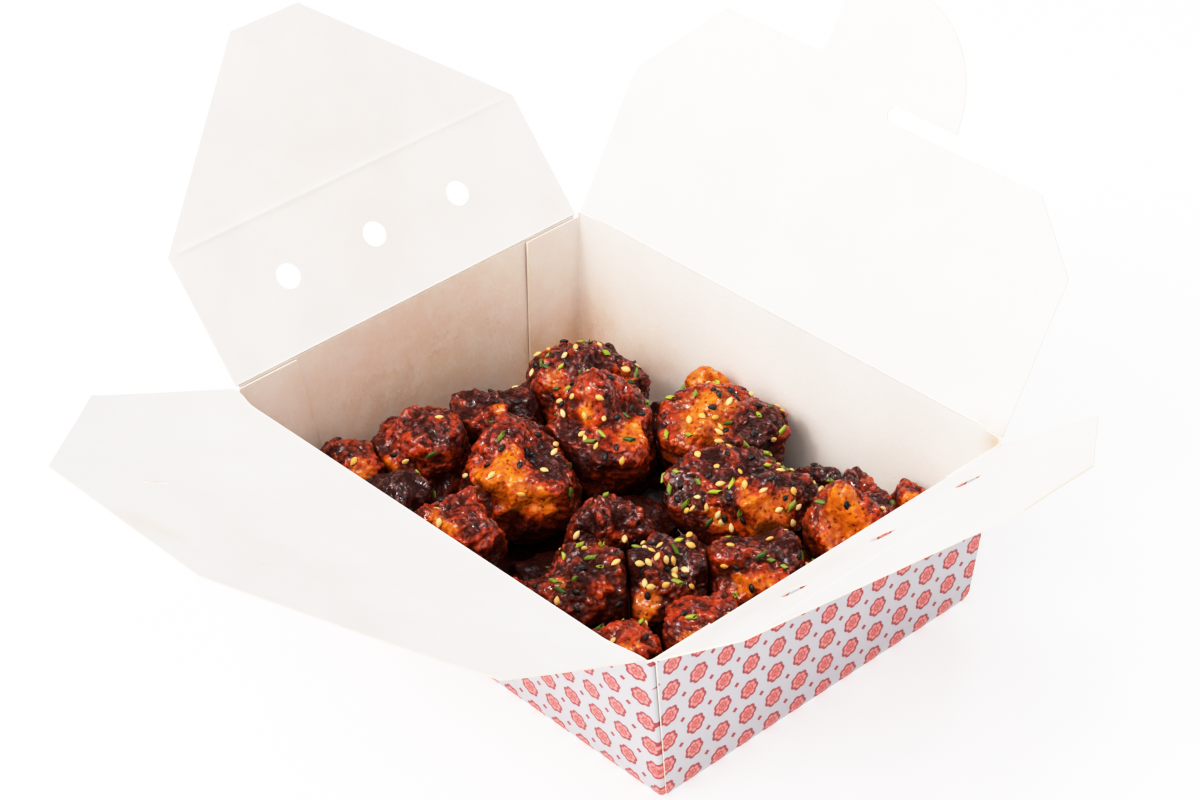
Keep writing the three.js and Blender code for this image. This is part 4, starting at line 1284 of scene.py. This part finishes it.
def strewToppings(laid):
    t = toppings
    heaps = {"white": [], "black": [], "chive": []}
    for entry in laid:
        spots, kinds = chooseSpots(entry)
        if not spots:
            continue
        places, normals = surfaceAt(entry, np.array([k[0] for k in spots]))
        for (_, growth, spin), kind, place, normal in zip(spots, kinds, places, normals):
            if kind == "seed":
                kind = "white" if (growth * 7.3) % 1 < t["whiteShare"] else "black"
            lift = t["chiveLift"] if kind == "chive" else t["seedLift"]
            heaps[kind].append((place + normal * lift, normal, 2 * math.pi * spin, growth))
    seed, chive = seedTemplate(), chiveTemplate()
    finishes = {
        "white": makeSeedMaterial("paleSesame", rgb(0.93, 0.66, 0.28), rgb(0.83, 0.40, 0.07), 0.35),
        "black": makeSeedMaterial("blackSesame", rgb(0.016, 0.012, 0.011), rgb(0.005, 0.004, 0.004), 0.3),
        "chive": makeSeedMaterial("cutChive", rgb(0.40, 0.46, 0.035), rgb(0.035, 0.085, 0.008), 0.3),
    }
    names = {"white": "paleSesameSeeds", "black": "blackSesameSeeds", "chive": "cutChives"}
    for kind, rows in heaps.items():
        places, normals, spins, growth = (np.array(k) for k in zip(*rows))
        if kind == "chive":
            length = t["chiveLength"] * (0.55 + 0.7 * growth)
            radius = t["chiveRadius"] * (0.8 + 0.35 * ((growth * 5.1) % 1))
            scales = np.column_stack([length, radius, radius * (0.6 + 0.3 * ((growth * 3.7) % 1))])
            template, faces = chive
        else:
            length, width, height = t["seed"]
            grown = 0.88 + 0.24 * ((growth * 3.3) % 1)
            scales = np.column_stack([length * grown, width * (0.85 + 0.3 * growth), height * grown])
            template, faces = seed
        tints = (growth * 9.7) % 1
        points, index, tint = strew(template, faces, places, normals, spins, scales, tints)
        heap = newMesh(names[kind], points, index, [finishes[kind]], attributes={"tint": tint})
        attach(heap, "box")
        print(names[kind], len(places))


sauce = {"columns": 120, "rows": 88, "inset": 4.0, "rise": 1.6, "sunk": 0.15}


# a shallow pool: the floor's grid lifted by soft noise, thinning to nothing at its border
def makeSaucePool():
    s = sauce
    x, y = np.meshgrid(
        np.linspace(-1, 1, s["columns"]) * (tray["baseLength"] / 2 - s["inset"]),
        np.linspace(-1, 1, s["rows"]) * (tray["baseWidth"] / 2 - s["inset"]),
    )
    place = np.column_stack([x.ravel(), y.ravel(), 0 * x.ravel()])
    nearest = np.full(len(place), 1e9)
    for piece in pieces:
        reach = (piece["size"][0] + piece["size"][1]) / 2
        apart = np.hypot(place[:, 0] - piece["at"][0], place[:, 1] - piece["at"][1])
        nearest = np.minimum(nearest, apart - reach)
    edge = nearest + 3.0 * softNoise(place, 9.0, 5)
    share = 1 - smoothStep(edge, -4, 2.5)
    top = board + 0.02 + share * s["rise"] * (0.8 + 0.25 * softNoise(place, 14.0, 8))
    upper = np.column_stack([place[:, :2], top])
    lower = np.column_stack([place[:, :2], 0 * top + board - s["sunk"]])
    upper[share <= 0, 2] = board - 0.12
    faces = gridFaces(s["rows"], s["columns"])
    wetFaces = faces[(share[faces] > 0).any(1)]
    count = len(place)
    edges = np.vstack([wetFaces[:, [k, (k + 1) % 4]] for k in range(4)])
    code, reverse = edges[:, 0] * count + edges[:, 1], edges[:, 1] * count + edges[:, 0]
    rim = edges[~np.isin(code, reverse)]
    sides = np.stack([rim[:, 0], rim[:, 0] + count, rim[:, 1] + count, rim[:, 1]], -1)
    faces = np.vstack([wetFaces, wetFaces[:, ::-1] + count, sides])
    used, compact = np.unique(faces, return_inverse=True)
    points = np.vstack([upper, lower])[used]
    material, r, shader = newMaterial("stickySauce", rgb(0.03, 0.006, 0.004))
    at = r.objectPlace()
    cloud = r.noise(at, 90.0, 4.0)
    color = r.mix(r.fade(cloud, 0.35, 0.65), rgb(0.012, 0.003, 0.003), rgb(0.05, 0.009, 0.005))
    relief = r.bump(r.noise(at, 260.0, 3.0), 0.35, 0.0006)
    feed(r, shader.inputs, Base_Color=color, Roughness=r.fade(cloud, 0.3, 0.7, 0.12, 0.3), Normal=relief)
    feed(r, shader.inputs, Coat_Weight=0.12, Coat_Roughness=0.08, Specular_IOR_Level=0.15)
    pool = newMesh("saucePool", points, compact.reshape(faces.shape), [material])
    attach(pool, "box")


studio = {
    "floor": rgb(0.97, 0.97, 0.97), "floorGlow": 0.38, "floorHalf": 6000.0, "floorDrop": 0.05,
    "sky": (1.0, 1.0, 1.0), "skyStrength": 0.3,
    # name: place and target in millimetres, size in metres, power in watts, colour
    "lamps": {
        "keyLamp": ((-520, -1180, 1200), (0, 0, 40), 1.6, 24.0, (1.0, 0.985, 0.965)),
        "topLamp": ((60, 100, 1500), (0, 0, 40), 0.7, 7.0, (1.0, 0.99, 0.98)),
        "fillLamp": ((900, -820, 760), (0, 0, 30), 1.2, 3.4, (1.0, 0.95, 0.91)),
        "sideLamp": ((1350, -300, 620), (0, 0, 30), 0.9, 0.7, (0.96, 0.98, 1.0)),
        "leftSpark": ((-380, -900, 1050), (0, 0, 30), 0.16, 2.2, (1.0, 1.0, 1.0)),
        "backSpark": ((420, 420, 1250), (0, 0, 30), 0.16, 2.0, (1.0, 1.0, 1.0)),
    },
    # the picture's tone curve: brightness in the scene, brightness in the picture
    "toneCurve": [(0.08, 0.085), (0.3, 0.4), (0.55, 0.72), (0.8, 0.89), (1.1, 0.965)], "toneWhite": 1.5,
}


def makeStudio():
    scene = bpy.context.scene
    scene.view_settings.view_transform = "Standard"
    scene.view_settings.use_curve_mapping = True
    tone = scene.view_settings.curve_mapping
    tone.white_level = [studio["toneWhite"]] * 3
    for light, shown in studio["toneCurve"]:
        tone.curves[3].points.new(light / studio["toneWhite"], shown)
    tone.update()
    world = bpy.data.worlds.new("studioSky")
    world.use_nodes = True
    sky = world.node_tree.nodes["Background"]
    sky.inputs["Color"].default_value = (*studio["sky"], 1.0)
    sky.inputs["Strength"].default_value = studio["skyStrength"]
    scene.world = world
    for name, (place, target, size, power, color) in studio["lamps"].items():
        data = bpy.data.lights.new(name, "AREA")
        data.size, data.energy, data.color = size, power, color
        lamp = bpy.data.objects.new(name, data)
        scene.collection.objects.link(lamp)
        lamp.location = Vector(place) * mm
        aim = (Vector(target) - Vector(place)).to_track_quat("-Z", "Y")
        lamp.rotation_euler = aim.to_euler()
    square = np.array([(-1, -1, 0), (1, -1, 0), (1, 1, 0), (-1, 1, 0)])
    points = square * studio["floorHalf"] - np.array([0, 0, studio["floorDrop"]])
    material, r, shader = newMaterial("paleFloor", studio["floor"])
    at = r.objectPlace()
    color = r.mix(r.fade(r.noise(at, 2.0, 2.0), 0.3, 0.7, 0.0, 0.03), studio["floor"], rgb(0.95, 0.95, 0.95))
    feed(r, shader.inputs, Base_Color=color, Roughness=0.9)
    feed(r, shader.inputs, Emission_Color=rgb(1.0, 1.0, 1.0), Emission_Strength=studio["floorGlow"])
    floor = newMesh("studioFloor", points, np.array([[0, 1, 2, 3]]), [material])


makeCamera()
makeStudio()
print("camera and studio ready")
boardMaterials = makeBoardMaterials()
makeTray(boardMaterials)
makeBackFlap(boardMaterials)
makeFrontFlap(boardMaterials)
makeVentFlap("leftLidFlap", "left", 21, boardMaterials)
makeVentFlap("rightLidFlap", "right", 33, boardMaterials)
print("box folded")
laidPieces = makeChicken(makeCrustMaterials())
print("chicken laid:", len(laidPieces), "pieces")
strewToppings(laidPieces)
makeSaucePool()
print("toppings and sauce done")
